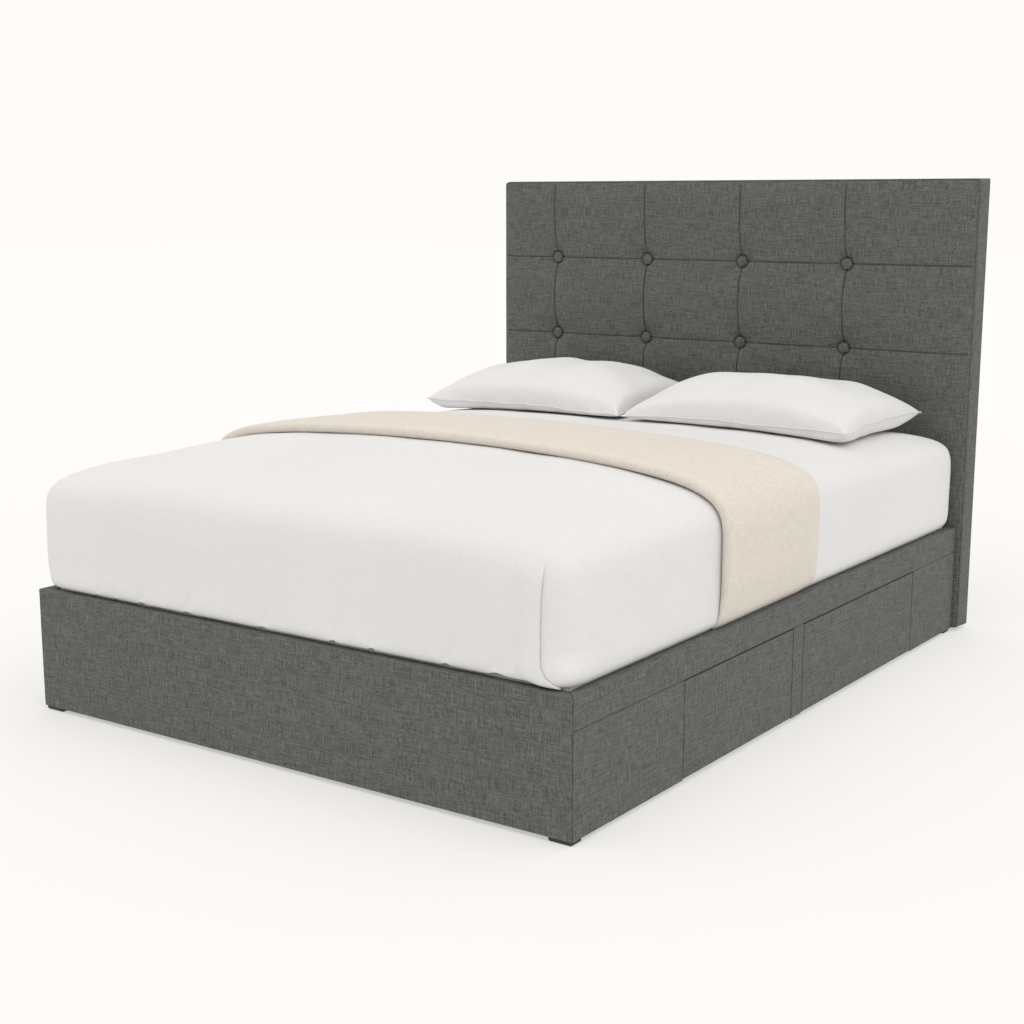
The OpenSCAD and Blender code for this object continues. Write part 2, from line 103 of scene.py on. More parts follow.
def move_points(piece: Piece, points: np.ndarray) -> None:
    """Put a piece's vertices in new places."""
    piece.data.vertices.foreach_set("co", points.astype(np.float32).ravel())
    piece.data.update()


def joined_rows(rows: Sequence[np.ndarray], flip: bool) -> tuple[np.ndarray, np.ndarray]:
    """Join rows of points, all of the same length, into a sheet.

    Args:
        rows: the rows.
        flip: whether the quads start along the row, not across it.

    Returns:
        The sheet's points and quads.
    """
    number = np.arange(len(rows) * len(rows[0])).reshape(len(rows), -1)
    a, b, c, d = number[:-1, :-1], number[1:, :-1], number[1:, 1:], number[:-1, 1:]
    corners = (a, d, c, b) if flip else (a, b, c, d)
    return np.concatenate(rows), np.stack([k.ravel() for k in corners], axis=1)


def box_lattice(xs: np.ndarray, ys: np.ndarray, zs: np.ndarray) -> tuple[np.ndarray, np.ndarray]:
    """Cover a box with quads that follow three lists of grid lines.

    Args:
        xs: grid lines along X, in rising order.
        ys: grid lines along Y.
        zs: grid lines along Z.

    Returns:
        The points on the box's surface and the quads between them, facing outwards.
    """
    counts = (len(xs), len(ys), len(zs))
    number = np.arange(math.prod(counts)).reshape(counts)
    quads = []
    for axis in range(3):
        for end in (0, -1):
            sheet = np.take(number, end, axis=axis)
            a, b, c, d = sheet[:-1, :-1], sheet[1:, :-1], sheet[1:, 1:], sheet[:-1, 1:]
            outwards = (end == -1) != (axis == 1)
            corners = (a, b, c, d) if outwards else (a, d, c, b)
            quads.append(np.stack([k.ravel() for k in corners], axis=1))
    faces = np.concatenate(quads)
    used, faces = np.unique(faces, return_inverse=True)
    i, j, k = np.unravel_index(used, counts)
    return np.stack([xs[i], ys[j], zs[k]], axis=1).astype(float), faces.reshape(-1, 4)


def grid_lines(low: float, high: float, step: float, edge: float, extra: Sequence[float] = ()) -> np.ndarray:
    """Space grid lines along one side, closer together where the edges are rounded.

    Args:
        low: the side's start.
        high: the side's end.
        step: the spacing away from the edges.
        edge: the edges' radius.
        extra: more lines, such as those along a seam.

    Returns:
        The lines in rising order, none nearer to another than a fifth of a millimetre.
    """
    inner = np.linspace(low + edge, high - edge, max(2, round((high - low - 2 * edge) / step) + 1))
    rounds = np.array([0.0, 0.22, 0.45, 0.7, 1.3, 2.2]) * edge
    lines = np.sort(np.concatenate([inner, low + rounds, high - rounds, np.asarray(extra, float)]))
    keep = np.concatenate([[True], np.diff(lines) > 0.2 * MM])
    lines = lines[keep]
    lines[-1] = high
    return lines


def round_edges(
    points: np.ndarray, low: np.ndarray, high: np.ndarray, radius: float | np.ndarray
) -> np.ndarray:
    """Round the edges and corners of points on a box.

    Args:
        points: points on the box's surface.
        low: the box's lowest corner.
        high: the box's highest corner.
        radius: the edges' radius, for all or for each point.

    Returns:
        The moved points.
    """
    heart = np.clip(points, low + radius, high - radius)
    out = points - heart
    length = np.maximum(np.linalg.norm(out, axis=1, keepdims=True), 1e-9)
    return heart + out / length * radius


def smoothstep(values: np.ndarray, start: float, end: float) -> np.ndarray:
    """Rise smoothly from 0 at start to 1 at end."""
    t = np.clip((values - start) / (end - start), 0, 1)
    return t * t * (3 - 2 * t)


def ripples(points: np.ndarray, wavelength: float, seed: int, waves: int = 9) -> np.ndarray:
    """Make a soft random relief from waves in seeded directions.

    Args:
        points: where it is wanted.
        wavelength: the waves' typical length.
        seed: the random seed.
        waves: how many waves are added.

    Returns:
        A value of about -1 to 1 for each point.
    """
    rng = np.random.default_rng(seed)
    total = np.zeros(len(points))
    for _ in range(waves):
        direction = rng.normal(size=3)
        direction /= np.linalg.norm(direction)
        length = wavelength * rng.uniform(0.6, 1.6)
        total += np.sin(points @ direction * (2 * math.pi / length) + rng.uniform(0, 2 * math.pi))
    return total / math.sqrt(waves)


def tube(points: np.ndarray, radius: float, sides: int = 8) -> tuple[np.ndarray, np.ndarray]:
    """Sweep a round cord along a closed loop of points.

    Args:
        points: the loop, without its first point repeated.
        radius: the cord's radius.
        sides: how many sides it has.

    Returns:
        The cord's points and quads.
    """
    count = len(points)
    along = np.roll(points, -1, axis=0) - np.roll(points, 1, axis=0)
    along /= np.maximum(np.linalg.norm(along, axis=1, keepdims=True), 1e-9)
    out = points - points.mean(axis=0)
    out -= (out * along).sum(axis=1, keepdims=True) * along
    out /= np.maximum(np.linalg.norm(out, axis=1, keepdims=True), 1e-9)
    up = np.cross(along, out)
    turns = np.arange(sides) * FULL_TURN / sides
    rings = (
        points[:, None, :]
        + radius * np.cos(turns)[None, :, None] * out[:, None, :]
        + radius * np.sin(turns)[None, :, None] * up[:, None, :]
    )
    number = np.arange(count * sides).reshape(count, sides)
    after, beside = np.roll(number, -1, axis=0), np.roll(number, -1, axis=1)
    across = np.roll(after, -1, axis=1)
    faces = np.stack([number.ravel(), after.ravel(), across.ravel(), beside.ravel()], axis=1)
    return rings.reshape(-1, 3), faces


def merged(parts: Sequence[Mesh]) -> Mesh:
    """Join several meshes into one.

    Args:
        parts: the points and faces of each.

    Returns:
        The points and faces of all of them.
    """
    points, faces, start = [], [], 0
    for part_points, part_faces in parts:
        points.append(part_points)
        faces += [[i + start for i in face] for face in part_faces]
        start += len(part_points)
    return np.concatenate(points), faces


def thicken(piece: Piece, thickness: float, offset: float = -1.0) -> None:
    """Give a sheet its cloth thickness.

    Args:
        piece: the sheet.
        thickness: the cloth's thickness.
        offset: -1 for inwards, 0 for half to each side.
    """
    solid = piece.modifiers.new("cloth_thickness", "SOLIDIFY")
    solid.thickness = thickness
    solid.offset = offset


def subdivide(piece: Piece) -> None:
    """Smooth a piece with one level of subdivision."""
    surface = piece.modifiers.new("smooth_cloth", "SUBSURF")
    surface.levels = surface.render_levels = 1


def finish_piece(piece: Piece, material: bpy.types.Material, slot: str, body: str, *nodes: str) -> None:
    """Dress a piece, put it on its body and hide the CAD nodes that it stands for.

    Args:
        piece: the piece, in place.
        material: its finish.
        slot: not used.
        body: the body that it rides on.
        nodes: the CAD nodes that it replaces.
    """
    piece.data.materials.clear()
    piece.data.materials.append(material)
    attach(piece, body)
    if nodes:
        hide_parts(*nodes)
    LOG.info("%s: %d points on %s", piece.name, len(piece.data.vertices), body)


def sewn_cover(
    piece: Piece, cloth: float, material: bpy.types.Material, body: str, node: str, length: float, *boards: str
) -> None:
    """Args:
        piece: the cover's outer surface.
        cloth: the cloth's thickness.
        material: its finish.
        body: the body that it rides on.
        node: the CAD node that it replaces.
        length: not used.
        boards: not used.
    """
    thicken(piece, cloth)
    finish_piece(piece, material, "charcoal_linen", body, node)


# ---------------------------------------------------------------- finishes


class Bench:
    """A material's node tree, with short calls for the nodes that the finishes use."""

    def __init__(self, name: str) -> None:
        """Start a material with one Principled shader."""
        self.material = bpy.data.materials.new(name)
        self.material.use_nodes = True
        self.nodes = self.material.node_tree.nodes
        self.links = self.material.node_tree.links
        self.shader = self.nodes["Principled BSDF"]
        self.place = self.nodes.new("ShaderNodeTexCoord").outputs["Object"]

    def put(self, socket: Socket, value: object) -> None:
        """Give an input its value.

        Args:
            socket: the input.
            value: an output to link to it, or a number or colour to set.
        """
        if isinstance(value, Socket):
            self.links.new(value, socket)
        else:
            socket.default_value = value

    def node(self, kind: str, *values: object) -> bpy.types.Node:
        """Add a node and give its first inputs their values.

        Args:
            kind: the node's type, without Blender's prefix.
            values: what its inputs get, in order.

        Returns:
            The node.
        """
        node = self.nodes.new(f"ShaderNode{kind}")
        for socket, value in zip(node.inputs, values):
            self.put(socket, value)
        return node

    def math(self, operation: str, *values: object) -> Socket:
        """Work out a value.

        Args:
            operation: the sum's name.
            values: its numbers.

        Returns:
            The result.
        """
        node = self.node("Math", *values)
        node.operation = operation
        return node.outputs[0]

    def combine(self, x: object, y: object, z: object = 0.0) -> Socket:
        """Join three values into a vector."""
        return self.node("CombineXYZ", x, y, z).outputs[0]

    def split(self, vector: Socket) -> list[Socket]:
        """Split a vector into its three values."""
        return list(self.node("SeparateXYZ", vector).outputs)

    def noise(self, vector: Socket, scale: float, detail: float = 2.0) -> Socket:
        """Add noise.

        Args:
            vector: the place that it is read at.
            scale: how many lumps there are to a metre.
            detail: how many finer layers it has.

        Returns:
            Values of about 0 to 1.
        """
        node = self.node("TexNoise")
        self.put(node.inputs["Vector"], vector)
        node.inputs["Scale"].default_value = scale
        node.inputs["Detail"].default_value = detail
        return node.outputs["Fac"]

    def cells(self, scale: float) -> Socket:
        """Add a field of cells.

        Args:
            scale: how many cells there are to a metre.

        Returns:
            The distance from each cell's middle.
        """
        node = self.node("TexVoronoi")
        self.put(node.inputs["Vector"], self.place)
        node.inputs["Scale"].default_value = scale
        return node.outputs["Distance"]

    def span(self, value: Socket, low: float, high: float, to_low: float, to_high: float) -> Socket:
        """Map a value from one range to another, held at the ends."""
        return self.node("MapRange", value, low, high, to_low, to_high).outputs[0]

    def mix(self, share: Socket, first: object, second: object) -> Socket:
        """Mix two colours.

        Args:
            share: how much of the second there is.
            first: the first colour.
            second: the second colour.

        Returns:
            The mixed colour.
        """
        node = self.node("Mix")
        node.data_type = "RGBA"
        for socket, value in (("Factor_Float", share), ("A_Color", first), ("B_Color", second)):
            self.put(next(i for i in node.inputs if i.identifier == socket), value)
        return next(o for o in node.outputs if o.identifier == "Result_Color")

    def on_face(self) -> tuple[Socket, Socket]:
        """Find the two coordinates that lie in the face, whichever way it points.

        Returns:
            The level and the upright coordinate.
        """
        x, y, z = self.split(self.place)
        normal = self.node("NewGeometry").outputs["Normal"]
        nx, ny, nz = (self.math("ABSOLUTE", part) for part in self.split(normal))
        side, top = (
            self.math("MULTIPLY", self.math("GREATER_THAN", n, ny), self.math("GREATER_THAN", n, other))
            for n, other in ((nx, nz), (nz, nx))
        )
        u = self.math("MULTIPLY_ADD", side, self.math("SUBTRACT", y, x), x)
        v = self.math("MULTIPLY_ADD", top, self.math("SUBTRACT", y, z), z)
        return u, v

    def bump(self, height: Socket, distance: float, strength: float) -> None:
        """Put a relief on the shader, on top of any that is there.

        Args:
            height: the relief, from 0 to 1.
            distance: how high 1 stands.
            strength: how strongly it shows.
        """
        node = self.node("Bump")
        node.inputs["Strength"].default_value = strength
        node.inputs["Distance"].default_value = distance
        self.put(node.inputs["Height"], height)
        before = self.shader.inputs["Normal"].links
        if before:
            self.put(node.inputs["Normal"], before[0].from_socket)
        self.put(self.shader.inputs["Normal"], node.outputs[0])

    def threads(self, pitch: float, run: float) -> tuple[Socket, Socket]:
        """Give uneven streaks across and along the face, as warp and weft threads.

        Args:
            pitch: the width of a streak in metres.
            run: its length in metres.

        Returns:
            The upright and the level streaks.
        """
        u, v = self.on_face()
        upright = self.combine(self.math("MULTIPLY", u, 1 / pitch), self.math("MULTIPLY", v, 1 / run))
        level = self.combine(self.math("MULTIPLY", u, 1 / run), self.math("MULTIPLY", v, 1 / pitch), 7.3)
        return self.noise(upright, 1.0, 1.0), self.noise(level, 1.0, 1.0)

    def set(self, **inputs: object) -> None:
        """Set inputs of the shader.

        Args:
            inputs: their values by name, in small letters with underscores for spaces.
        """
        sockets = {socket.name.lower().replace(" ", "_"): socket for socket in self.shader.inputs}
        for name, value in inputs.items():
            self.put(sockets[name], value)


def rgba(colour: Colour, gain: float = 1.0) -> tuple[float, float, float, float]:
    """Give a colour with alpha, made lighter or darker by gain."""
    return (*(min(1.0, part * gain) for part in colour), 1.0)


@dataclass(frozen=True)
class WovenFinish:
    """A woven cloth: fine threads, heavier slubs, a slight nap and soft unevenness."""

    name: str
    colour: Colour
    contrast: float
    slub_contrast: float
    thread: float = 1.1 * MM
    slub: float = 2.6 * MM
    slub_run: float = 38 * MM
    relief: float = 0.35 * MM
    sheen: float = 0.1
    crease: float = 0.0
    streaks: float = 0.0

    def build(self) -> bpy.types.Material:
        """Make the material.

        Returns:
            The material.
        """
        bench = Bench(self.name)
        upright, level = bench.threads(self.thread, self.thread * 9)
        slub_up, slub_level = bench.threads(self.slub, self.slub_run)
        fine = bench.math("ADD", upright, level)
        heavy = bench.math("ADD", bench.math("MULTIPLY", slub_up, 1.15), bench.math("MULTIPLY", slub_level, 0.85))
        patch = bench.noise(bench.place, 3.0, 3.0)
        low, high = 1 - self.contrast, 1 + self.contrast
        tone = bench.math(
            "MULTIPLY",
            bench.span(fine, 0.62, 1.38, low, high),
            bench.span(heavy, 0.72, 1.28, 1 - self.slub_contrast, 1 + self.slub_contrast),
        )
        tone = bench.math("MULTIPLY", tone, bench.span(patch, 0.3, 0.7, 0.985, 1.015))
        if self.streaks:
            long_up, long_level = bench.threads(self.slub, self.slub_run * 2.4)
            rare = bench.math("MAXIMUM", long_up, bench.math("SUBTRACT", long_level, 0.04))
            tone = bench.math("ADD", tone, bench.span(rare, 0.66, 0.8, 0.0, self.streaks))
        dark, light = rgba(self.colour, 0.5), rgba(self.colour, 1.5)
        colour = bench.mix(bench.span(tone, 0.5, 1.5, 0.0, 1.0), dark, light)
        bench.set(base_color=colour, roughness=0.92, specular_ior_level=0.25)
        bench.set(sheen_weight=self.sheen, sheen_roughness=0.5)
        bench.bump(bench.math("ADD", fine, heavy), self.relief, 0.7)
        if self.crease:
            bench.bump(bench.noise(bench.place, 9.0, 3.0), self.crease, 0.6)
        return bench.material


class Grain(Enum):
    """The direction that a board's grain runs in."""

    X = (0.08, 1.0, 1.0)
    Y = (1.0, 0.06, 1.0)
    Z = (1.0, 1.0, 0.06)
    FACE = (0.06, 1.0, 1.0)


@dataclass(frozen=True)
class WoodFinish:
    """Sawn or planed wood with stretched grain and fine pores."""

    name: str
    light: Colour
    dark: Colour
    grain: Grain
    roughness: float = 0.6

    def build(self) -> bpy.types.Material:
        """Make the material.

        Returns:
            The material.
        """
        bench = Bench(self.name)
        x, y, z = bench.split(bench.place)
        if self.grain is Grain.FACE:
            x, y = bench.on_face()
        sx, sy, sz = self.grain.value
        stretched = bench.combine(
            bench.math("MULTIPLY", x, sx), bench.math("MULTIPLY", y, sy), bench.math("MULTIPLY", z, sz)
        )
        rings = bench.noise(stretched, 42.0, 5.0)
        pores = bench.noise(stretched, 420.0, 2.0)
        share = bench.math("ADD", bench.span(rings, 0.35, 0.65, 0.0, 0.8), bench.span(pores, 0.4, 0.7, 0.0, 0.2))
        bench.set(base_color=bench.mix(share, rgba(self.light), rgba(self.dark)))
        bench.set(roughness=bench.span(rings, 0.3, 0.7, self.roughness - 0.08, self.roughness + 0.1))
        bench.bump(pores, 0.2 * MM, 0.5)
        return bench.material


@dataclass(frozen=True)
class BoardFinish:
    """Pressed board of small chips or fibres."""

    name: str
    light: Colour
    dark: Colour
    chip: float

    def build(self) -> bpy.types.Material:
        """Make the material.

        Returns:
            The material.
        """
        bench = Bench(self.name)
        flakes = bench.cells(1 / self.chip)
        fibres = bench.noise(bench.place, 0.6 / self.chip, 4.0)
        share = bench.math("MULTIPLY", bench.span(flakes, 0.0, 0.7, 0.0, 1.0), fibres)
        bench.set(base_color=bench.mix(share, rgba(self.light), rgba(self.dark)))
        bench.set(roughness=bench.span(fibres, 0.3, 0.7, 0.7, 0.9))
        bench.bump(flakes, 0.15 * MM, 0.5)
        return bench.material


@dataclass(frozen=True)
class SteelFinish:
    """Zinc-plated sheet steel with faint spangle and rolling marks."""

    name: str
    colour: Colour

    def build(self) -> bpy.types.Material:
        """Make the material.

        Returns:
            The material.
        """
        bench = Bench(self.name)
        x, y, z = bench.split(bench.place)
        marks = bench.noise(bench.combine(bench.math("MULTIPLY", x, 0.03), y, z), 900.0, 2.0)
        spangle = bench.noise(bench.place, 60.0, 2.0)
        bench.set(base_color=bench.mix(spangle, rgba(self.colour, 0.88), rgba(self.colour, 1.08)))
        bench.set(roughness=bench.span(marks, 0.3, 0.7, 0.28, 0.46), metallic=1.0)
        bench.bump(marks, 0.05 * MM, 0.4)
        return bench.material


@dataclass(frozen=True)
class PlainFinish:
    """A moulded, foamed, felted or twisted surface: one colour with a small relief and uneven tone."""

    name: str
    colour: Colour
    grain: float
    relief: float
    roughness: float
    spread: float = 0.12

    def build(self) -> bpy.types.Material:
        """Make the material.

        Returns:
            The material.
        """
        bench = Bench(self.name)
        speck = bench.noise(bench.place, 1 / self.grain, 3.0)
        bench.set(base_color=bench.mix(speck, rgba(self.colour, 1 - self.spread), rgba(self.colour, 1 + self.spread)))
        bench.set(roughness=bench.span(speck, 0.3, 0.7, self.roughness - 0.06, self.roughness + 0.06))
        bench.bump(speck, self.relief, 0.6)
        return bench.material


class Finishes:
    """Every finish of the bed, made once."""

    def __init__(self) -> None:
        """Make the materials."""
        linen = (0.109, 0.112, 0.1065)
        self.linen = WovenFinish(
            "charcoal_linen", linen, 0.55, 0.38, 0.9 * MM, 1.9 * MM, 40 * MM, sheen=0.03, streaks=0.34
        ).build()
        self.cotton = WovenFinish(
            "white_cotton", (0.825, 0.815, 0.795), 0.04, 0.03, 0.9 * MM, 2.0 * MM, 24 * MM, 0.12 * MM, crease=2 * MM
        ).build()
        self.pillow = WovenFinish(
            "pillow_cotton", (0.86, 0.85, 0.835), 0.02, 0.016, 0.8 * MM, 1.8 * MM, 20 * MM, 0.08 * MM, crease=1.4 * MM
        ).build()
        self.blanket = WovenFinish(
            "beige_blanket", (0.7, 0.63, 0.555), 0.05, 0.07, 1.2 * MM, 2.2 * MM, 26 * MM, 0.5 * MM, sheen=0.06
        ).build()
        self.ticking = WovenFinish("mattress_ticking", (0.78, 0.77, 0.74), 0.03, 0.02).build()
        self.dust_cloth = PlainFinish("dust_cloth", (0.03, 0.03, 0.03), 1.2 * MM, 0.2 * MM, 0.95).build()
        self.plastic = PlainFinish("black_plastic", (0.02, 0.02, 0.02), 0.7 * MM, 0.08 * MM, 0.5).build()
        self.foam = PlainFinish("foam", (0.85, 0.78, 0.52), 1.5 * MM, 0.5 * MM, 0.9).build()
        self.twine = PlainFinish("twine", (0.55, 0.42, 0.25), 0.5 * MM, 0.3 * MM, 0.8).build()
        self.steel = SteelFinish("zinc_steel", (0.6, 0.61, 0.62)).build()
        pine = ((0.8, 0.63, 0.4), (0.6, 0.4, 0.2))
        ply = ((0.74, 0.6, 0.42), (0.55, 0.4, 0.24))
        self.pine_across = WoodFinish("pine_slats", *pine, Grain.X).build()
        self.pine_along = WoodFinish("pine_bearers", *pine, Grain.Y).build()
        self.pine_upright = WoodFinish("pine_uprights", *pine, Grain.Z).build()
        self.ply = WoodFinish("drawer_ply", *ply, Grain.FACE, 0.4).build()
        self.ply_across = WoodFinish("drawer_bottom_ply", *ply, Grain.X, 0.45).build()
        self.fibreboard = BoardFinish("fibreboard", (0.62, 0.46, 0.3), (0.45, 0.32, 0.2), 1.2 * MM).build()
        self.chipboard = BoardFinish("chipboard", (0.72, 0.58, 0.4), (0.48, 0.36, 0.22), 4 * MM).build()
        self.hardboard = BoardFinish("hardboard", (0.36, 0.23, 0.13), (0.24, 0.15, 0.08), 0.8 * MM).build()


# ---------------------------------------------------------------- covered panels


@dataclass
class Slab:
    """A board's sewn sleeve: a box with rounded edges and slightly full faces."""

    low: tuple[float, float, float]
    high: tuple[float, float, float]
    radius: float = 2.2 * MM
    fullness: float = 0.8 * MM
    step: float = 30 * MM
    fade: float = 40 * MM

    def shape(self) -> tuple[np.ndarray, np.ndarray]:
        """Make the sleeve's outer surface.

        Returns:
            Its points and quads.
        """
        low, high = np.array(self.low), np.array(self.high)
        flat, faces = box_lattice(*(grid_lines(low[k], high[k], self.step, self.radius) for k in range(3)))
        points = round_edges(flat, low, high, self.radius)
        inward = np.minimum(flat - low, high - flat)
        middle = (low + high) / 2
        for axis in range(3):
            across = np.prod([smoothstep(inward[:, k], 0, self.fade) for k in range(3) if k != axis], axis=0)
            swell = self.fullness * across * np.sign(points[:, axis] - middle[axis])
            points[:, axis] += np.where(inward[:, axis] < 1e-6, swell, 0)
        return points, faces


@dataclass
class CoveredBase:
    """The upholstered foot panel and the two sides of the base."""

    finishes: Finishes
    cloth: float = 2.4 * MM
    mitre_gap: float = 0.15 * MM
    seam: float = 0.8 * MM
    gap: float = 3 * MM
    panel_radius: float = 1.8 * MM

    def mitred_foot(self) -> None:
        """Make the foot panel's cover, cut at 45 degrees at both ends."""
        low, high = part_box("foot_panel_cover")
        points, faces = Slab(tuple(low), tuple(high)).shape()
        half = high.x
        depth = np.clip(points[:, 1] - low.y, 0, None)
        points[:, 0] *= (half - depth - self.mitre_gap) / half
        piece = mesh_object("foot_panel_cover_cloth", points, faces)
        linen, board = self.finishes.linen, "foot_panel_board"
        sewn_cover(piece, self.cloth, linen, ROOT, "foot_panel_cover", 2 * half, board)

    def side(self, name: str, sign: int, panels: Sequence[tuple[float, float]], drawer_top: float) -> None:
        """Make one side's cover: the rail's sleeve and those of the fixed panels under it.

        Args:
            name: right or left.
            sign: 1 for the right-hand side, -1 for the left.
            panels: the start and end of each fixed panel along Y.
            drawer_top: the height of the rail's lower edge.
        """
        low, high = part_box(f"side_cover_{name}")
        outer, inner = max(abs(low.x), abs(high.x)), min(abs(low.x), abs(high.x))
        parts = [Slab((inner, low.y, drawer_top + self.seam / 2), (outer, high.y, high.z))]
        for start, end in panels:
            parts.append(Slab((inner, start, low.z), (outer, end, drawer_top - self.seam / 2), self.panel_radius))
        points, faces = merged([part.shape() for part in parts])
        reach = panels[0][1] - low.y
        share = np.clip(1 - (points[:, 1] - low.y) / reach, 0, 1)
        points[:, 1] += share * (outer - points[:, 0] + self.mitre_gap)
        if sign < 0:
            points[:, 0] *= -1
            faces = [face[::-1] for face in faces]
        node, boards = f"side_cover_{name}", (f"side_rail_{name}", f"side_panels_{name}")
        piece = mesh_object(f"{node}_cloth", points, faces)
        sewn_cover(piece, self.cloth, self.finishes.linen, ROOT, node, high.y - low.y, *boards)

    def build(self) -> None:
        """Make the three covers."""
        self.mitred_foot()
        foot_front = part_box("drawer_foot_right_front_cover")
        head_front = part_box("drawer_head_right_front_cover")
        start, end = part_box("foot_panel_cover")[0].y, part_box("side_cover_right")[1].y
        panels = (
            (start, foot_front[0].y - self.gap),
            (foot_front[1].y + self.gap, head_front[0].y - self.gap),
            (head_front[1].y + self.gap, end),
        )
        for name, sign in (("right", 1), ("left", -1)):
            self.side(name, sign, panels, foot_front[1].z + self.gap)


@dataclass
class Drawer:
    """One drawer's covered front and the finish of its box."""

    finishes: Finishes
    bay: str
    side: str
    cloth: float = 2.4 * MM
    radius: float = 2.6 * MM

    @property
    def body(self) -> str:
        """The body that the drawer rides on."""
        return f"drawer_{self.bay}_{self.side}"

    def build(self) -> None:
        """Make the front's sleeve and dress the CAD nodes of the box and runners."""
        node = f"{self.body}_front_cover"
        low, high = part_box(node)
        points, faces = Slab(tuple(low), tuple(high), self.radius).shape()
        piece, board = mesh_object(f"{node}_cloth", points, faces), f"{self.body}_front_board"
        sewn_cover(piece, self.cloth, self.finishes.linen, self.body, node, high.y - low.y, board)
        dress(board, self.finishes.fibreboard)
        dress(f"{self.body}_box", self.finishes.ply, 1.2 * MM)
        dress(f"{self.body}_bottom", self.finishes.ply_across)
        for member in ("inner", "middle"):
            dress(f"{self.body}_runner_{member}", self.finishes.steel, 0.3 * MM)


def dress(node: str, material: bpy.types.Material, edge: float = 0.6 * MM) -> None:
    """Give a CAD node its finish and slightly worn edges.

    Args:
        node: the CAD node's name.
        material: its finish.
        edge: the width of the eased edges.
    """
    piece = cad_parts[node]
    for slot in piece.material_slots:
        slot.material = material
    bevel = piece.modifiers.new("eased_edges", "BEVEL")
    bevel.width = edge
    bevel.segments = 2
    bevel.limit_method = "ANGLE"
    bevel.angle_limit = math.radians(40)


# ---------------------------------------------------------------- headboard


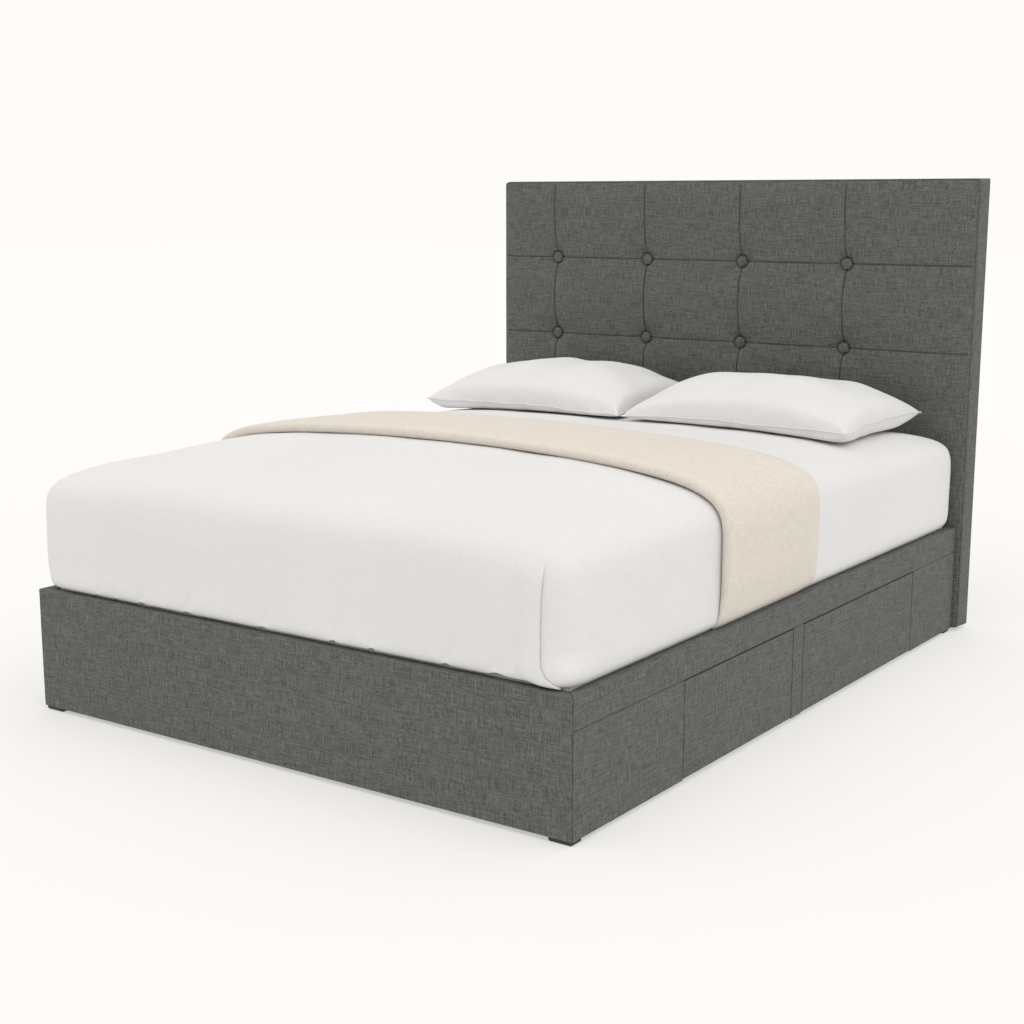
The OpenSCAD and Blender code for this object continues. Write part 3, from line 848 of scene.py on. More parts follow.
@dataclass
class Headboard:
    """The tufted cover, its foam, the welt round its front edge and the buttons."""

    finishes: Finishes
    radius: float = 13 * MM
    back_radius: float = 4 * MM
    lip: float = 45 * MM
    cloth: float = 2.2 * MM
    foam_skin: float = 1 * MM
    foam_back: float = 30 * MM
    recess: float = 16 * MM
    crown: float = 10 * MM
    puff_reach: float = 50 * MM
    pull_reach: float = 90 * MM
    dimple_reach: float = 36 * MM
    flare_reach: float = 60 * MM
    bow: float = 5 * MM
    bow_reach: float = 60 * MM
    seam_depth: float = 6.5 * MM
    seam_width: float = 1.7 * MM
    seam_reach: float = 12 * MM
    ring_radius: float = 18.5 * MM
    ring_depth: float = 6 * MM
    ring_width: float = 2.6 * MM
    welt: float = 1.1 * MM
    welt_inset: float = 2.6 * MM
    button_rings: int = 12
    button_sides: int = 36
    columns: np.ndarray = field(init=False)
    rows: np.ndarray = field(init=False)

    def __post_init__(self) -> None:
        """Read the headboard's box and the buttons' places from the frame."""
        self.low, self.high = (np.array(corner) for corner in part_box("headboard_cover"))
        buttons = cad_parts["headboard_buttons"].data.vertices
        places = np.array([v.co for v in buttons])
        self.columns = self.centres(places[:, 0])
        self.rows = self.centres(places[:, 2])
        self.bed_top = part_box("mattress")[1].z

    @staticmethod
    def centres(values: np.ndarray, apart: float = 60 * MM) -> np.ndarray:
        """Find the middle of each cluster of values.

        Args:
            values: the values.
            apart: how far one cluster is from the next at least.

        Returns:
            The middles in rising order.
        """
        ordered = np.unique(np.round(values, 5))
        groups = np.split(ordered, np.flatnonzero(np.diff(ordered) > apart) + 1)
        return np.array([(g[0] + g[-1]) / 2 for g in groups])

    def proud(self, x: np.ndarray, z: np.ndarray) -> np.ndarray:
        """Shape the front: cushions between seams that bow to the left, dimples and rings at the buttons.

        Args:
            x: places across.
            z: heights.

        Returns:
            How far the front stands out of its plane at each place.
        """
        level = np.min(np.abs(z[:, None] - self.rows[None, :]), axis=1)
        bowed = self.bow * (1 - np.exp(-level / self.bow_reach))
        across = np.min(np.abs(x[:, None] + bowed[:, None] - self.columns[None, :]), axis=1)
        edge = np.minimum(np.minimum(x - self.low[0], self.high[0] - x), self.high[2] - z)
        gap = np.hypot(x[:, None, None] - self.columns[None, :, None], z[:, None, None] - self.rows[None, None, :])
        near = gap.reshape(len(x), -1).min(axis=1)
        above_bed = smoothstep(z, self.bed_top - 0.02, self.bed_top + 0.12)
        pull = 1 - np.exp(-((near / self.pull_reach) ** 1.2))
        swell = (1 - np.exp(-across / self.puff_reach)) * (1 - np.exp(-level / self.puff_reach))
        puff = self.crown * (0.55 + 0.45 * swell)
        puff = puff * above_bed * smoothstep(edge, 0, 0.06) * pull
        dimple = self.recess * (np.exp(-((near / self.dimple_reach) ** 1.6)) + 0.4 * np.exp(-near / self.flare_reach))
        groove = self.seam_depth * np.exp(-((across / self.seam_width) ** 2))
        groove = np.maximum(groove, 0.8 * self.seam_depth * np.exp(-((level / self.seam_width) ** 2)))
        soft = 1.6 * MM * np.exp(-across / self.seam_reach) + 1.2 * MM * np.exp(-level / self.seam_reach)
        ring = self.ring_depth * np.exp(-(((near - self.ring_radius) / self.ring_width) ** 2))
        return puff - dimple - ring - (groove + soft) * smoothstep(edge, 0.004, 0.02)

    def lines(self, axis: int, seams: np.ndarray, spread: float) -> np.ndarray:
        """Space grid lines, closer along the seams and round the buttons.

        Args:
            axis: 0 for X or 2 for Z.
            seams: the seams' places.
            spread: how far from a seam the closest lines go.

        Returns:
            The lines in rising order.
        """
        fine = np.arange(-spread, spread + 1e-6, 1.3 * MM)
        ring = np.arange(spread + 2 * MM, 25 * MM, 2 * MM)
        near = np.concatenate([-ring, fine, ring])
        extra = (seams[:, None] + near[None, :]).ravel()
        return grid_lines(self.low[axis], self.high[axis], self.radius, self.radius, extra)

    def front(self, start: float, inset: float) -> tuple[np.ndarray, np.ndarray]:
        """Make a block of the headboard whose front follows the tufting.

        Args:
            start: how far behind the headboard's front plane the block starts.
            inset: how far it is inside the headboard's outline.

        Returns:
            Its points and quads.
        """
        low = self.low + np.array([inset, start, inset])
        high = self.high - np.array([inset, 0, inset])
        xs = np.clip(self.lines(0, self.columns - self.bow / 2, 6 * MM), low[0], high[0])
        zs = np.clip(self.lines(2, self.rows, 5 * MM), low[2], high[2])
        ys = grid_lines(low[1], high[1], 22 * MM, self.radius)
        flat, faces = box_lattice(np.unique(xs), ys, np.unique(zs))
        turned_in = smoothstep(flat[:, 1:2], low[1] + 0.02, high[1] - 0.012)
        radius = self.radius + inset + (self.back_radius - self.radius - inset) * turned_in
        points = round_edges(flat, low, high, radius)
        share = 1 - smoothstep(flat[:, 1], low[1], low[1] + 0.03)
        points[:, 1] -= self.proud(flat[:, 0], flat[:, 2]) * share
        return points, faces

    def cover(self) -> None:
        """Make the cover over the front and the boxed edges, turned in on the back."""
        points, faces = self.front(0.0, 0.0)
        middles = points[faces].mean(axis=1)
        inside = np.all((middles > self.low + self.lip)[:, ::2] & (middles < self.high - self.lip)[:, ::2], axis=1)
        faces = faces[~(inside & (middles[:, 1] > self.high[1] - 1 * MM))]
        piece = mesh_object("headboard_cover_cloth", points, faces)
        length = self.high[0] - self.low[0] + 2 * (self.high[1] - self.low[1] + self.lip)
        linen, foam = self.finishes.linen, "headboard_foam_pad"
        sewn_cover(piece, self.cloth, linen, ROOT, "headboard_cover", length, foam)

    def foam(self) -> None:
        """Make the foam, which follows the tufting behind the cloth."""
        low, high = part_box("headboard_foam")
        points, faces = self.front(self.cloth + self.foam_skin, low.x - self.low[0] + 2 * MM)
        limit = self.low[1] + self.foam_back
        beyond = points[:, 1] > limit
        depth = self.high[1] - limit
        points[beyond, 1] = limit + (points[beyond, 1] - limit) / depth * (high.y - limit)
        points[:, 1] = np.minimum(points[:, 1], high.y)
        piece = mesh_object("headboard_foam_pad", points, faces)
        finish_piece(piece, self.finishes.foam, "foam", ROOT, "headboard_foam")

    def edge_welt(self) -> None:
        """Make the fine seam cord round the front edge."""
        turn = self.radius - self.welt_inset
        right, top = self.high[0] - self.radius, self.high[2] - self.radius
        bottom = self.low[2] + self.radius
        y = self.low[1] + 3.2 * MM
        outline = []
        for quarter, (x, z) in enumerate(((right, top), (-right, top), (-right, bottom), (right, bottom))):
            for k in range(7):
                angle = math.pi * (quarter / 2 + k / 12)
                outline.append((x + turn * math.cos(angle), y, z + turn * math.sin(angle)))
        piece = mesh_object("headboard_edge_welt", *tube(np.array(outline), self.welt))
        finish_piece(piece, self.finishes.linen, "charcoal_linen", ROOT)

    def buttons(self) -> None:
        """Make the covered buttons, each a dome with a turned-in rim and a slight dish at the tie."""
        low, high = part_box("headboard_buttons")
        radius = high.x - self.columns[-1]
        rim = low.y + (high.y - low.y) * 0.75
        profile = [(0.0, low.y + 0.5 * MM)]
        for k in range(1, self.button_rings + 1):
            turn = k / self.button_rings * math.pi * 0.72
            under = turn - math.pi / 2
            out = math.sin(turn) if under < 0 else 1 - 0.25 * under
            profile.append((radius * out, rim - (rim - low.y) * math.cos(turn)))
        profile.append((0.0, high.y))
        parts = [spun(profile, x, z, self.button_sides) for x in self.columns for z in self.rows]
        piece = mesh_object("headboard_buttons_covered", *merged(parts))
        subdivide(piece)
        finish_piece(piece, self.finishes.linen, "charcoal_linen", ROOT, "headboard_buttons")

    def build(self) -> None:
        """Make every piece of the headboard."""
        for make in (self.cover, self.foam, self.edge_welt, self.buttons):
            make()
        dress("headboard_frame", self.finishes.pine_upright, 4 * MM)
        dress("headboard_face_board", self.finishes.hardboard)
        dress("headboard_back_cloth", self.finishes.dust_cloth)
        dress("button_ties", self.finishes.twine, 0.2 * MM)


def spun(profile: Sequence[tuple[float, float]], x: float, z: float, sides: int) -> tuple[np.ndarray, list]:
    """Turn a profile round an axis along Y.

    Args:
        profile: (radius, y) points, whose first and last are on the axis.
        x: the axis's place along X.
        z: its place along Z.
        sides: how many sides the turned shape has.

    Returns:
        Its points and faces.
    """
    points = [(x, profile[0][1], z)]
    turns = np.arange(sides) * FULL_TURN / sides
    for radius, y in profile[1:-1]:
        points += [(x + radius * math.cos(t), y, z + radius * math.sin(t)) for t in turns]
    points.append((x, profile[-1][1], z))
    faces: list[list[int]] = []
    rings = len(profile) - 2
    for s in range(sides):
        after = (s + 1) % sides
        faces.append([0, 1 + s, 1 + after])
        for r in range(rings - 1):
            a, b = 1 + r * sides, 1 + (r + 1) * sides
            faces.append([a + s, b + s, b + after, a + after])
        last = 1 + (rings - 1) * sides
        faces.append([last + s, len(points) - 1, last + after])
    return np.array(points), faces


# ---------------------------------------------------------------- bedding


@dataclass
class BeddingForm:
    """The soft block of the made bed: bulging sides, rounded edges and a crowned top."""

    square_corner: float = 60.0
    soft_corner: float = 26.0
    upper_power: float = 7.0
    lower_power: float = 8.5
    belly: float = 0.147
    shoulder: float = 0.626
    lean: float = 10 * MM
    low: np.ndarray = field(init=False)
    high: np.ndarray = field(init=False)

    def __post_init__(self) -> None:
        """Read the block's place from the frame."""
        low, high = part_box("bed_cover")
        self.low, self.high = np.array(low), np.array(high)
        self.foot = self.low[1]
        self.middle = np.array([0.0, (self.low[1] + self.high[1]) / 2, self.low[2] + self.belly])
        self.half = np.array([self.high[0], (self.high[1] - self.low[1]) / 2])
        self.up = self.shoulder - self.middle[2]
        self.down = self.belly
        self.rail_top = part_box("foot_panel_cover")[1].z
        self.rail_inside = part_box("side_cover_right")[0].x
        self.foot_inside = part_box("foot_panel_cover")[1].y

    def corner_power(self, x: np.ndarray, y: np.ndarray, z: float | np.ndarray = 0.0) -> np.ndarray:
        """Give how square the plan's nearest corner is, at places from -1 to 1 along each side.

        Args:
            x: places across.
            y: places along.
            z: heights; the corner gets squarer towards the tucked hem.

        Returns:
            The power of the superellipse.
        """
        share = smoothstep(x, 0.0, 0.5) * smoothstep(-y, 0.0, 0.5) * smoothstep(np.asarray(z), -0.8, -0.35)
        return self.square_corner + (self.soft_corner - self.square_corner) * share

    def warp(self, points: np.ndarray, level: np.ndarray) -> np.ndarray:
        """Crown the top, let it fall towards the pillows and bulge the left-hand side.

        Args:
            points: points of the plain block.
            level: their height in it, from -1 at the bottom to 1 at the top.

        Returns:
            The moved points.
        """
        along = points[:, 1] - self.foot
        share = points[:, 0] / self.half[0]
        crown = 0.016 + 0.03 * np.exp(-(((along - 0.72) / 0.55) ** 2))
        lift = 0.006 * np.exp(-(((along - 0.6) / 0.6) ** 2)) - 0.018 * smoothstep(along, 1.0, 1.7)
        moved = points.copy()
        moved[:, 2] += smoothstep(level, 0.0, 1.0) * (lift + crown * (1 - np.clip(np.abs(share), 0, 1) ** 2))
        moved[:, 0] -= self.lean * smoothstep(-share, 0.4, 1.0) * smoothstep(level, -0.8, -0.3)
        return moved

    def block(self, lines: Sequence[np.ndarray], grow: float = 0.0) -> tuple[np.ndarray, np.ndarray]:
        """Make the closed block.

        Args:
            lines: its grid lines along each axis, from -1 to 1.
            grow: how far it is grown outwards.

        Returns:
            Its points and quads.
        """
        unit, faces = box_lattice(*lines)
        power = np.where(unit[:, 2] > 0, self.upper_power, self.lower_power)
        p = self.corner_power(*unit.T)
        total = (np.abs(unit[:, 0]) ** p + np.abs(unit[:, 1]) ** p) ** (power / p) + np.abs(unit[:, 2]) ** power
        unit = unit * (total ** (-1 / power))[:, None]
        height = np.where(unit[:, 2] > 0, self.up, self.down) + grow
        scale = np.stack([np.full(len(unit), half + grow) for half in self.half] + [height], axis=1)
        return self.warp(self.middle + unit * scale, unit[:, 2]), faces

    def even_lines(self, step: float) -> list[np.ndarray]:
        """Give evenly spaced grid lines for the block."""
        size = (2 * self.half[0], 2 * self.half[1], self.up + self.down)
        return [np.linspace(-1, 1, max(8, round(length / step))) for length in size]

    def section(self, y: float, spacing: float, lowest: float) -> tuple[np.ndarray, np.ndarray]:
        """Follow the block's outline across the bed.

        Args:
            y: where along the bed.
            spacing: the distance between points.
            lowest: the height at which both ends stop.

        Returns:
            The points from the left-hand side over the top to the right, and their outward normals.
        """
        turn = np.linspace(-0.5 * math.pi, 1.5 * math.pi, 6001)[::-1]
        c, s = np.cos(turn), np.sin(turn)
        power = np.where(s > 0, self.upper_power, self.lower_power)
        x = np.sign(c) * np.abs(c) ** (2 / power)
        z = np.sign(s) * np.abs(s) ** (2 / power)
        height = self.middle[2] + z * np.where(s > 0, self.up, self.down)
        points = self.warp(np.stack([x * self.half[0], np.full_like(x, y), height], axis=1), z)
        points = points[points[:, 2] >= lowest]
        along = np.concatenate([[0], np.cumsum(np.linalg.norm(np.diff(points, axis=0), axis=1))])
        at = np.linspace(0, along[-1], round(along[-1] / spacing) + 1)
        line = np.stack([np.interp(at, along, points[:, k]) for k in range(3)], axis=1)
        ahead = np.gradient(line, axis=0)
        normal = np.stack([-ahead[:, 2], np.zeros(len(line)), ahead[:, 0]], axis=1)
        normal /= np.linalg.norm(normal, axis=1, keepdims=True)
        return line, normal

    def top(self, x: np.ndarray, y: np.ndarray) -> np.ndarray:
        """Find the block's top.

        Args:
            x: places across.
            y: places along.

        Returns:
            The height at each place.
        """
        across = np.clip(x / self.half[0], -0.999, 0.999)
        along = np.clip((y - self.middle[1]) / self.half[1], -0.999, 0.999)
        p, q = self.corner_power(across, along), self.upper_power
        plan = np.abs(across) ** p + np.abs(along) ** p
        level = np.clip(1 - plan ** (q / p), 0, 1) ** (1 / q)
        points = np.stack([x, y, self.middle[2] + level * self.up], axis=1)
        return self.warp(points, level)[:, 2]


@dataclass
class Mattress:
    """The quilted mattress under the cover."""

    finishes: Finishes
    form: BeddingForm
    inset: float = 7 * MM
    quilt: float = 0.16
    quilt_depth: float = 3 * MM
    stitch: float = 0.12

    def build(self) -> None:
        """Make the mattress with a diamond quilt on its top."""
        points, faces = self.form.block(self.form.even_lines(22 * MM), -self.inset)
        top = smoothstep(points[:, 2], self.form.middle[2] + 0.1, self.form.middle[2] + 0.17)
        diagonals = (points[:, 0] + points[:, 1], points[:, 0] - points[:, 1])
        stitched = sum(np.exp(-np.abs(np.sin(d * math.pi / self.quilt)) / self.stitch) for d in diagonals)
        points[:, 2] -= self.quilt_depth * top * np.minimum(stitched, 1)
        piece = mesh_object("mattress_quilted", points, faces)
        finish_piece(piece, self.finishes.ticking, "mattress_ticking", ROOT, "mattress")


@dataclass
class BedCover:
    """The white cover over the mattress, tucked in all round, with a folded corner at the foot."""

    finishes: Finishes
    form: BeddingForm
    step: float = 14 * MM
    cloth: float = 2 * MM
    side_hem: float = 4 * MM
    foot_hem: float = 14 * MM
    neck: float = 3 * MM
    room: float = 1.5 * MM
    tuck_depth: float = 9.5 * MM
    tuck_lift: float = 7.5 * MM
    flat: tuple[float, float] = (2.7, 3.1)
    fold_width: float = 0.085
    fold_lift: float = 3.4 * MM
    fold_line: tuple[tuple[float, float], ...] = (
        (0.322, 0.757),
        (0.328, 0.744),
        (0.340, 0.728),
        (0.358, 0.7175),
        (0.375, 0.7142),
        (0.430, 0.7118),
        (0.500, 0.7135),
        (0.585, 0.718),
    )
    tucks: tuple[tuple[float, float], ...] = (
        (-0.6, 0.016),
        (-0.535, 0.02),
        (-0.445, 0.03),
        (-0.29, 0.04),
        (-0.05, 0.045),
        (0.16, 0.026),
        (0.27, 0.022),
        (0.47, 0.03),
        (0.6, 0.05),
    )

    def lines(self) -> list[np.ndarray]:
        """Space grid lines, closer at the hem and at the tucks.

        Returns:
            The lines along each axis, from -1 to 1.
        """
        across, along, upright = self.form.even_lines(self.step)
        places = np.array([place for place, _ in self.tucks]) / self.form.half[0]
        near = np.arange(-0.03, 0.0301, 0.005)
        across = np.unique(np.round(np.concatenate([across, (places[:, None] + near[None, :]).ravel()]), 3))
        hem = (self.form.rail_top - self.form.middle[2]) / self.form.down
        upright = np.sort(np.concatenate([upright, hem + np.arange(-0.06, 0.16, 0.013)]))
        return [across, along, upright]

    def waves(self, points: np.ndarray) -> np.ndarray:
        """Shape the cloth's slow waves and soft creases.

        Args:
            points: points on the block.

        Returns:
            How far the cloth stands out of the block at each.
        """
        low = 1 - smoothstep(points[:, 2], self.form.rail_top + 0.02, self.form.rail_top + 0.15)
        slow = 1.8 * MM * ripples(points, 0.5, 3) + 0.9 * MM * ripples(points, 0.2, 5)
        squeezed = points * np.array([1.0, 1.0, 0.2])
        return slow + low * (1.2 * MM * ripples(squeezed, 0.16, 11) + 0.6 * MM * ripples(squeezed, 0.07, 12))

    def tuck_pull(self, points: np.ndarray) -> np.ndarray:
        """Shape the small tucks along the foot.

        Args:
            points: points on the block.

        Returns:
            How strongly the cloth is drawn in at each.
        """
        pull = np.zeros(len(points))
        rise = points[:, 2] - self.form.rail_top
        for place, width in self.tucks:
            slant = place + 0.35 * np.clip(rise, 0, 0.2)
            reach = 0.035 + 0.8 * width
            near = (points[:, 0] - slant) / (0.3 * width + 0.12 * np.clip(rise, 0, 1))
            pull += np.exp(-(near**2)) * np.exp(-np.clip(rise, 0, 1) / reach)
        return pull

    def corner_fold(self, cover: Piece) -> Piece:
        """Make the folded corner's upper layer, which comes out of the foot's face and ends in an edge.

        Args:
            cover: the cover that it lies on.

        Returns:
            The piece.
        """
        mesh = cover.data
        tree = BVHTree.FromPolygons([v.co for v in mesh.vertices], [list(p.vertices) for p in mesh.polygons])
        heights = np.array([z for z, _ in self.fold_line])
        levels = np.concatenate([np.linspace(heights[0], 0.36, 16)[:-1], np.linspace(0.36, heights[-1], 34)])
        edge = np.interp(levels, heights, np.array([x for _, x in self.fold_line]))
        edge[1:-1] = (edge[:-2] + 2 * edge[1:-1] + edge[2:]) / 4
        span = np.concatenate([np.linspace(-1, -0.2, 9), np.linspace(-0.16, 0, 6)])
        rows = []
        for height, end in zip(levels, edge):
            row = []
            top = float(smoothstep(np.array(height), 0.53, 0.585))
            for share in span:
                x = end + share * self.fold_width
                hit, normal, _, _ = tree.ray_cast(Vector((x, self.form.low[1] - 0.2, height)), Vector((0, 1, 0)))
                sunk = max(top, float(smoothstep(np.array(-share), 0.35, 1.0)))
                row.append(hit + normal * (self.fold_lift - (self.fold_lift + 4 * MM) * sunk))
            rows.append(np.array(row))
        piece = mesh_object("bed_cover_corner_fold", *joined_rows(rows, flip=True))
        subdivide(piece)
        thicken(piece, 2 * self.fold_lift - 1.2 * MM, 0.0)
        finish_piece(piece, self.finishes.cotton, "white_cotton", ROOT)
        return piece

    def tuck_in(self, points: np.ndarray, moved: np.ndarray) -> None:
        """Move what is under the rails' top to a wall at their inner faces, and keep the rest above it.

        Args:
            points: points on the block.
            moved: the cover's points, which are changed.
        """
        form = self.form
        tucked = points[:, 2] < form.rail_top
        reach_x = form.rail_inside - self.room
        foot_reach = form.middle[1] - form.foot_inside - self.room
        reach_y = np.where(points[:, 1] < form.middle[1], foot_reach, form.half[1] - 1 * MM)
        plan_x, plan_y = moved[:, 0] / reach_x, (moved[:, 1] - form.middle[1]) / reach_y
        share = np.maximum(np.maximum(np.abs(plan_x), np.abs(plan_y)), 1e-6)
        to_wall = smoothstep(points[:, 2], form.low[2] + 1 * MM, form.low[2] + 7 * MM) * (share > 0.5)
        target = np.where(to_wall > 0, np.maximum(share, share + (1 - share) * to_wall), share)
        scale = np.where(tucked, np.minimum(target, 1.0) / share, 1.0)
        moved[:, 0] *= scale
        moved[:, 1] = form.middle[1] + (moved[:, 1] - form.middle[1]) * scale
        moved[~tucked, 2] = np.maximum(moved[~tucked, 2], form.rail_top + 0.8 * MM)
        moved[tucked, 2] = np.minimum(moved[tucked, 2], form.rail_top - 0.4 * MM)
        moved[:, 2] = np.maximum(moved[:, 2], form.low[2] + 0.3 * MM)

    def surface(self) -> Piece:
        """Make the cover itself, closed round the mattress.

        Returns:
            The piece.
        """
        form = self.form
        points, faces = form.block(self.lines())
        piece = mesh_object("bed_cover_cloth", points, faces)
        normals = read_points(piece.data, "normal")
        above = smoothstep(points[:, 2], form.rail_top - 2 * MM, form.rail_top + 4 * MM)
        out = self.waves(points) * smoothstep(points[:, 2], form.rail_top, form.rail_top + 0.05)
        moved = points + normals * out[:, None]
        rise = points[:, 2] - form.rail_top
        plan = normals[:, :2] / np.maximum(np.linalg.norm(normals[:, :2], axis=1, keepdims=True), 1e-6)
        at_foot = smoothstep(-plan[:, 1], 0.3, 0.9)
        pull = self.tuck_pull(points)
        lumps = 2 * MM + 2 * MM * ripples(points * np.array([1.0, 0.0, 0.0]), 0.25, 14) + self.tuck_lift * pull
        droop = 2.2 * MM + at_foot * lumps
        hem = self.side_hem + (self.foot_hem - self.side_hem) * at_foot
        open_hem = smoothstep(rise, droop - 2 * MM, droop + 3 * MM)
        outwards = open_hem * hem * np.exp(-np.clip(rise - droop, 0, 1) / 0.03) - self.neck * (1 - open_hem)
        sideways = np.minimum(1, 1.5 * np.linalg.norm(normals[:, :2], axis=1)) * above
        moved[:, :2] += plan * (sideways * outwards)[:, None]
        moved[:, 1] += self.tuck_depth * pull * at_foot * above * smoothstep(rise, 0.004, 0.03)
        self.tuck_in(points, moved)
        move_points(piece, moved)
        subdivide(piece)
        thicken(piece, self.cloth)
        finish_piece(piece, self.finishes.cotton, "white_cotton", ROOT, "bed_cover")
        return piece

    def build(self) -> None:
        """Make the cover and its folded corner."""
        cover = self.surface()
        fold = self.corner_fold(cover)


@dataclass
class Throw:
    """The beige blanket folded in two and laid across the bed."""

    finishes: Finishes
    form: BeddingForm
    layer: float = 3.6 * MM
    gap: float = 1.2 * MM
    roll: float = 11.5 * MM
    step: float = 12 * MM
    end: float = 0.3165
    skew: float = 24 * MM
    relief: float = 0.9 * MM
    wander: float = 3 * MM

    def path(self, low_y: float, high_y: float) -> tuple[np.ndarray, np.ndarray]:
        """Give the folded blanket's line, from its free edge round the fold and back.

        Args:
            low_y: the folded edge's place.
            high_y: the free edges' place.

        Returns:
            Y and the height over the cover at each point.
        """
        under = self.gap + self.layer / 2
        centre = low_y + self.roll + self.layer / 2
        flat = np.linspace(high_y, centre, round((high_y - centre) / self.step))
        turn = np.linspace(-0.5 * math.pi, 0.5 * math.pi, 13)
        ys = np.concatenate([flat, centre - self.roll * np.cos(turn)[1:-1], flat[::-1] - 4 * MM])
        heights = np.concatenate(
            [
                np.full(len(flat), under),
                under + self.roll * (1 + np.sin(turn))[1:-1],
                np.full(len(flat), under + 2 * self.roll),
            ]
        )
        fall = 1 - 0.35 * smoothstep(ys, centre + 0.03, high_y)
        fall *= 1 - 0.7 * smoothstep(ys, high_y - 0.1, high_y - 0.01)
        heights = np.where(heights > under, under + (heights - under) * fall, heights)
        return ys, heights

    def build(self) -> None:
        """Make the folded blanket as one bent sheet."""
        low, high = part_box("throw")
        base, _ = self.form.section((low.y + high.y) / 2, self.step, self.end)
        count = len(base)
        across, at = np.linspace(-1, 1, count), np.linspace(0, 1, count)
        sideways = np.stack([across, 0 * across, 0 * across], axis=1)
        rows = []
        for y, height in zip(*self.path(low.y, high.y)):
            section = self.form.section(y, self.step, self.end)
            share = np.linspace(0, 1, len(section[0]))
            line, normal = (
                np.stack([np.interp(at, share, part[:, k]) for k in range(3)], axis=1) for part in section
            )
            squeeze = 0.22 + 0.78 * smoothstep(line[:, 2], self.end, self.end + 0.11)
            wave = ripples(np.stack([across * 1.3, np.full(count, y), np.full(count, height)], axis=1), 0.35, 21)
            raised = self.relief * min(1.0, height / 0.02) * wave
            points = line + normal * ((height + raised) * squeeze)[:, None]
            points[:, 1] += self.wander * ripples(sideways, 0.6, 22) + self.skew * (1 - across) / 2
            rows.append(points)
        piece = mesh_object("throw_folded", *joined_rows(rows, flip=False))
        thicken(piece, self.layer, 0.0)
        subdivide(piece)
        finish_piece(piece, self.finishes.blanket, "beige_knit", ROOT, "throw")


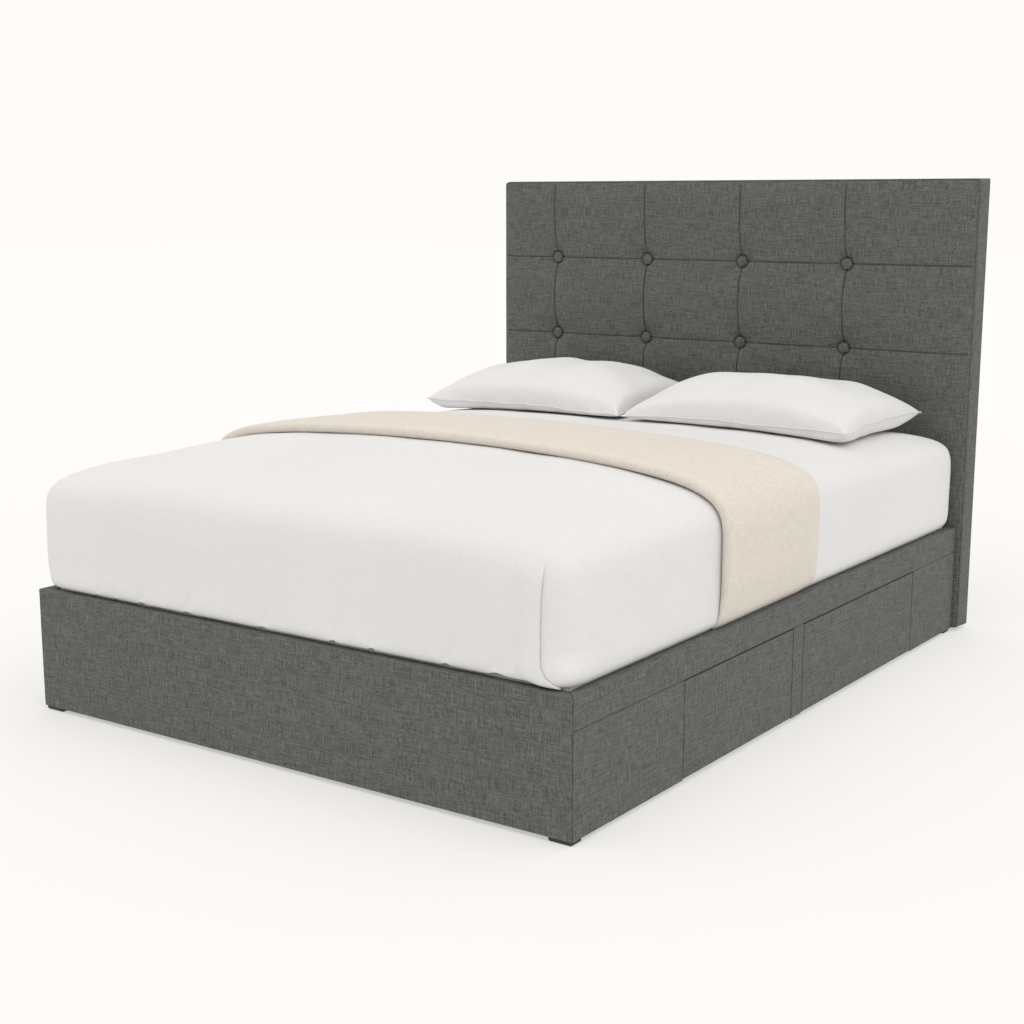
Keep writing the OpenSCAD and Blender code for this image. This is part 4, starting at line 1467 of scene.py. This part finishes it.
@dataclass
class Pillow:
    """A filled pillow with knife edges and a fine cord along its seam."""

    finishes: Finishes
    form: BeddingForm
    side: str
    seed: int
    columns: int = 60
    rows: int = 44
    cord: float = 2.3 * MM
    frames: int = 9
    stiffness: tuple[tuple[str, float], ...] = (
        ("use_pressure", True),
        ("uniform_pressure_force", 2.0),
        ("quality", 8),
        ("mass", 0.3),
        ("tension_stiffness", 40),
        ("compression_stiffness", 30),
        ("shear_stiffness", 20),
        ("bending_stiffness", 4.0),
        ("shrink_min", -0.012),
    )
    loft: float = 0.101
    sag: float = 0.045

    def casing(self, width: float, length: float) -> tuple[np.ndarray, list[list[int]], list[int]]:
        """Shape the casing's two panels, joined all round, with drawn-in sides and sharp corners.

        Args:
            width: the casing's width.
            length: its depth.

        Returns:
            Its points, its quads and the vertex numbers round the seam in order.
        """
        turn_u, turn_v = np.linspace(-1, 1, self.columns), np.linspace(-1, 1, self.rows)
        u, v = np.meshgrid(turn_u * (1.25 - 0.25 * turn_u**2), turn_v * (1.25 - 0.25 * turn_v**2), indexing="ij")
        full = np.clip(1 - np.abs(u) ** 2.6, 0, 1) ** 0.62 * np.clip(1 - np.abs(v) ** 2.3, 0, 1) ** 0.62
        x = u * width / 2 * (1 - 0.035 * (1 - v**2) * np.abs(u) ** 3)
        y = v * length / 2 * (1 - 0.05 * (1 - u**2) * np.abs(v) ** 3)
        spots = np.stack([x, y, 0 * x], axis=-1).reshape(-1, 3)
        uneven = (1 + 0.07 * ripples(spots, 0.3, self.seed)).reshape(u.shape)
        height = self.loft * full * uneven
        under = self.sag * np.clip(1 - np.abs(u) ** 7, 0, 1) ** 0.6 * np.clip(1 - np.abs(v) ** 6, 0, 1) ** 0.6
        number = np.arange(self.columns * self.rows).reshape(self.columns, self.rows)
        rim = np.zeros(u.shape, bool)
        rim[[0, -1], :] = rim[:, [0, -1]] = True
        below = number.copy()
        below[~rim] = number.size + np.arange((~rim).sum())
        points = np.concatenate(
            [np.stack([x, y, height], axis=-1).reshape(-1, 3), np.stack([x, y, -under], axis=-1)[~rim]]
        )
        faces = []
        for i in range(self.columns - 1):
            for j in range(self.rows - 1):
                faces.append([number[i, j], number[i + 1, j], number[i + 1, j + 1], number[i, j + 1]])
                faces.append([below[i, j], below[i, j + 1], below[i + 1, j + 1], below[i + 1, j]])
        seam = [*number[:-1, 0], *number[-1, :-1], *number[:0:-1, -1], *number[0, :0:-1]]
        return points, faces, [int(i) for i in seam]

    def inflate(self, piece: Piece) -> np.ndarray:
        """Args:
            piece: the casing.

        Returns:
            Its points when filled.
        """
        cloth = piece.modifiers.new("filling", "CLOTH")
        for name, value in self.stiffness:
            setattr(cloth.settings, name, value)
        cloth.settings.effector_weights.gravity = 0.0
        cloth.point_cache.frame_start = 1
        cloth.point_cache.frame_end = self.frames
        for number in range(1, self.frames + 1):
            bpy.context.scene.frame_set(number)
        filled = read_points(piece.evaluated_get(bpy.context.evaluated_depsgraph_get()).data)
        piece.modifiers.remove(cloth)
        bpy.context.scene.frame_set(1)
        return filled

    def settle(self, points: np.ndarray) -> np.ndarray:
        """Put the filled pillow in its place, with its underside on the cover.

        Args:
            points: the pillow's points round the origin.

        Returns:
            The points in the frame.
        """
        low, high = (np.array(corner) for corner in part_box(f"pillow_{self.side}"))
        size = points.max(axis=0) - points.min(axis=0)
        middle = (points.max(axis=0) + points.min(axis=0)) / 2
        target = high - low
        middle[2], size[2], target[2] = 0.0, 1.0, 1.0
        points = (points - middle) / size * target
        points[:, 2] += 2.2 * MM * ripples(points, 0.16, self.seed) * (points[:, 2] > 0)
        centre = (low + high) / 2
        seam_z = 0.651 + 0.008 * points[:, 1] / target[1]
        placed = points + np.array([centre[0], centre[1], 0.0])
        placed[:, 2] += seam_z
        bed = self.form.top(placed[:, 0], placed[:, 1]) + 2.5 * MM
        under = placed[:, 2] < bed + 0.012
        pressed = bed + 0.012 * np.exp((placed[:, 2] - bed - 0.012) / 0.03)
        placed[:, 2] = np.where(under, np.maximum(placed[:, 2], pressed), placed[:, 2])
        return placed

    def build(self) -> None:
        """Make the pillow and its corded seam."""
        low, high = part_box(f"pillow_{self.side}")
        points, faces, seam = self.casing(high.x - low.x, high.y - low.y)
        piece = mesh_object(f"pillow_{self.side}_casing", points, faces)
        placed = self.settle(self.inflate(piece))
        move_points(piece, placed)
        subdivide(piece)
        cord = mesh_object(f"pillow_{self.side}_cord", *tube(placed[seam], self.cord))
        finish_piece(cord, self.finishes.pillow, "pillow_cotton", ROOT)
        finish_piece(piece, self.finishes.pillow, "pillow_cotton", ROOT, f"pillow_{self.side}")


# ---------------------------------------------------------------- frame parts


@dataclass
class BareParts:
    """The boards, slats, steel parts and glides that keep their CAD shape."""

    finishes: Finishes

    def build(self) -> None:
        """Give each of them its finish."""
        f = self.finishes
        boards = [f"side_{part}_{side}" for part in ("rail", "panels") for side in ("right", "left")]
        inner = ("head_cross_board", "centre_spine", "foot_bay_partitions", "head_bay_partitions")
        steel = ("runner_channels", "corner_brackets", "headboard_brackets", "corner_bolts", "headboard_bolts")
        for nodes, finish, edge in (
            (("foot_panel_board", *boards), f.fibreboard, 2 * MM),
            (inner, f.chipboard, 0.6 * MM),
            (("slat_bearers",), f.pine_along, 1.5 * MM),
            (("deck_slats",), f.pine_across, 2.5 * MM),
            (("glide_feet",), f.plastic, 0.6 * MM),
            (steel, f.steel, 0.3 * MM),
        ):
            for node in nodes:
                dress(node, finish, edge)


# ---------------------------------------------------------------- studio


@dataclass
class Studio:
    """A plain pale floor, soft light and the camera."""

    floor_size: float = 60.0
    floor_colour: Colour = (0.45, 0.45, 0.45)
    floor_glow: float = 0.46
    eye: tuple[float, float, float] = (2.518, -3.7365, 1.292)
    azimuth: float = 36.038
    pitch: float = 11.346
    roll: float = -0.225
    lens: float = 58.98
    shift: tuple[float, float] = (0.0293, 0.0146)
    sun_from: tuple[float, float, float] = (0.55, -0.25, 1.3)
    sun_strength: float = 0.75
    sun_spread: float = 70.0
    sun_colour: Colour = (1.0, 0.99, 0.975)
    sky_colour: Colour = (0.991, 0.973, 0.957)

    def floor(self) -> None:
        """Lay the pale floor."""
        half = self.floor_size / 2
        corners = np.array([(-half, -half, 0), (half, -half, 0), (half, half, 0), (-half, half, 0)])
        piece = mesh_object("studio_floor", corners, [(0, 1, 2, 3)])
        bench = Bench("studio_floor")
        bench.set(base_color=rgba(self.floor_colour), roughness=1.0, specular_ior_level=0.0)
        bench.set(emission_color=rgba(self.sky_colour), emission_strength=self.floor_glow)
        piece.data.materials.append(bench.material)

    def sun(self) -> None:
        """Hang one very soft overhead light."""
        light = bpy.data.lights.new("soft_sun", "SUN")
        light.energy = self.sun_strength
        light.angle = math.radians(self.sun_spread)
        light.color = self.sun_colour
        lamp = bpy.data.objects.new("soft_sun", light)
        lamp.location = (0, 0, 5)
        lamp.rotation_mode = "QUATERNION"
        lamp.rotation_quaternion = (-Vector(self.sun_from)).to_track_quat("-Z", "Y")
        bpy.context.scene.collection.objects.link(lamp)

    def sky(self) -> None:
        """Light everything evenly from all round."""
        world = bpy.data.worlds.new("studio")
        world.use_nodes = True
        background = world.node_tree.nodes["Background"]
        background.inputs["Color"].default_value = rgba(self.sky_colour)
        background.inputs["Strength"].default_value = 1.0
        bpy.context.scene.world = world

    def camera(self) -> None:
        """Put the camera at the eye, level but for a slight roll."""
        azimuth, pitch, roll = (math.radians(a) for a in (self.azimuth, self.pitch, self.roll))
        back = Vector((math.sin(azimuth) * math.cos(pitch), -math.cos(azimuth) * math.cos(pitch), math.sin(pitch)))
        camera = bpy.data.cameras.new("camera")
        camera.lens = self.lens
        camera.sensor_width = 36.0
        camera.shift_x, camera.shift_y = self.shift
        camera.clip_start, camera.clip_end = 0.05, 200.0
        holder = bpy.data.objects.new("camera", camera)
        holder.location = self.eye
        holder.rotation_mode = "QUATERNION"
        turn = (-back).to_track_quat("-Z", "Y")
        holder.rotation_quaternion = turn @ Quaternion((0, 0, 1), roll)
        bpy.context.scene.collection.objects.link(holder)
        bpy.context.scene.camera = holder

    def build(self) -> None:
        """Set up the studio."""
        self.floor()
        self.sky()
        self.sun()
        self.camera()
        bpy.context.scene.view_settings.view_transform = "Standard"


def main() -> None:
    """Build the studio, the base, the headboard and the bedding."""
    logging.basicConfig(level=logging.INFO, format="%(name)s: %(message)s")
    Studio().build()
    finishes = Finishes()
    BareParts(finishes).build()
    CoveredBase(finishes).build()
    for side in ("right", "left"):
        for bay in ("foot", "head"):
            Drawer(finishes, bay, side).build()
    Headboard(finishes).build()
    form = BeddingForm()
    Mattress(finishes, form).build()
    BedCover(finishes, form).build()
    Throw(finishes, form).build()
    Pillow(finishes, form, "left", 31).build()
    Pillow(finishes, form, "right", 37).build()


if __name__ == "__main__":
    main()
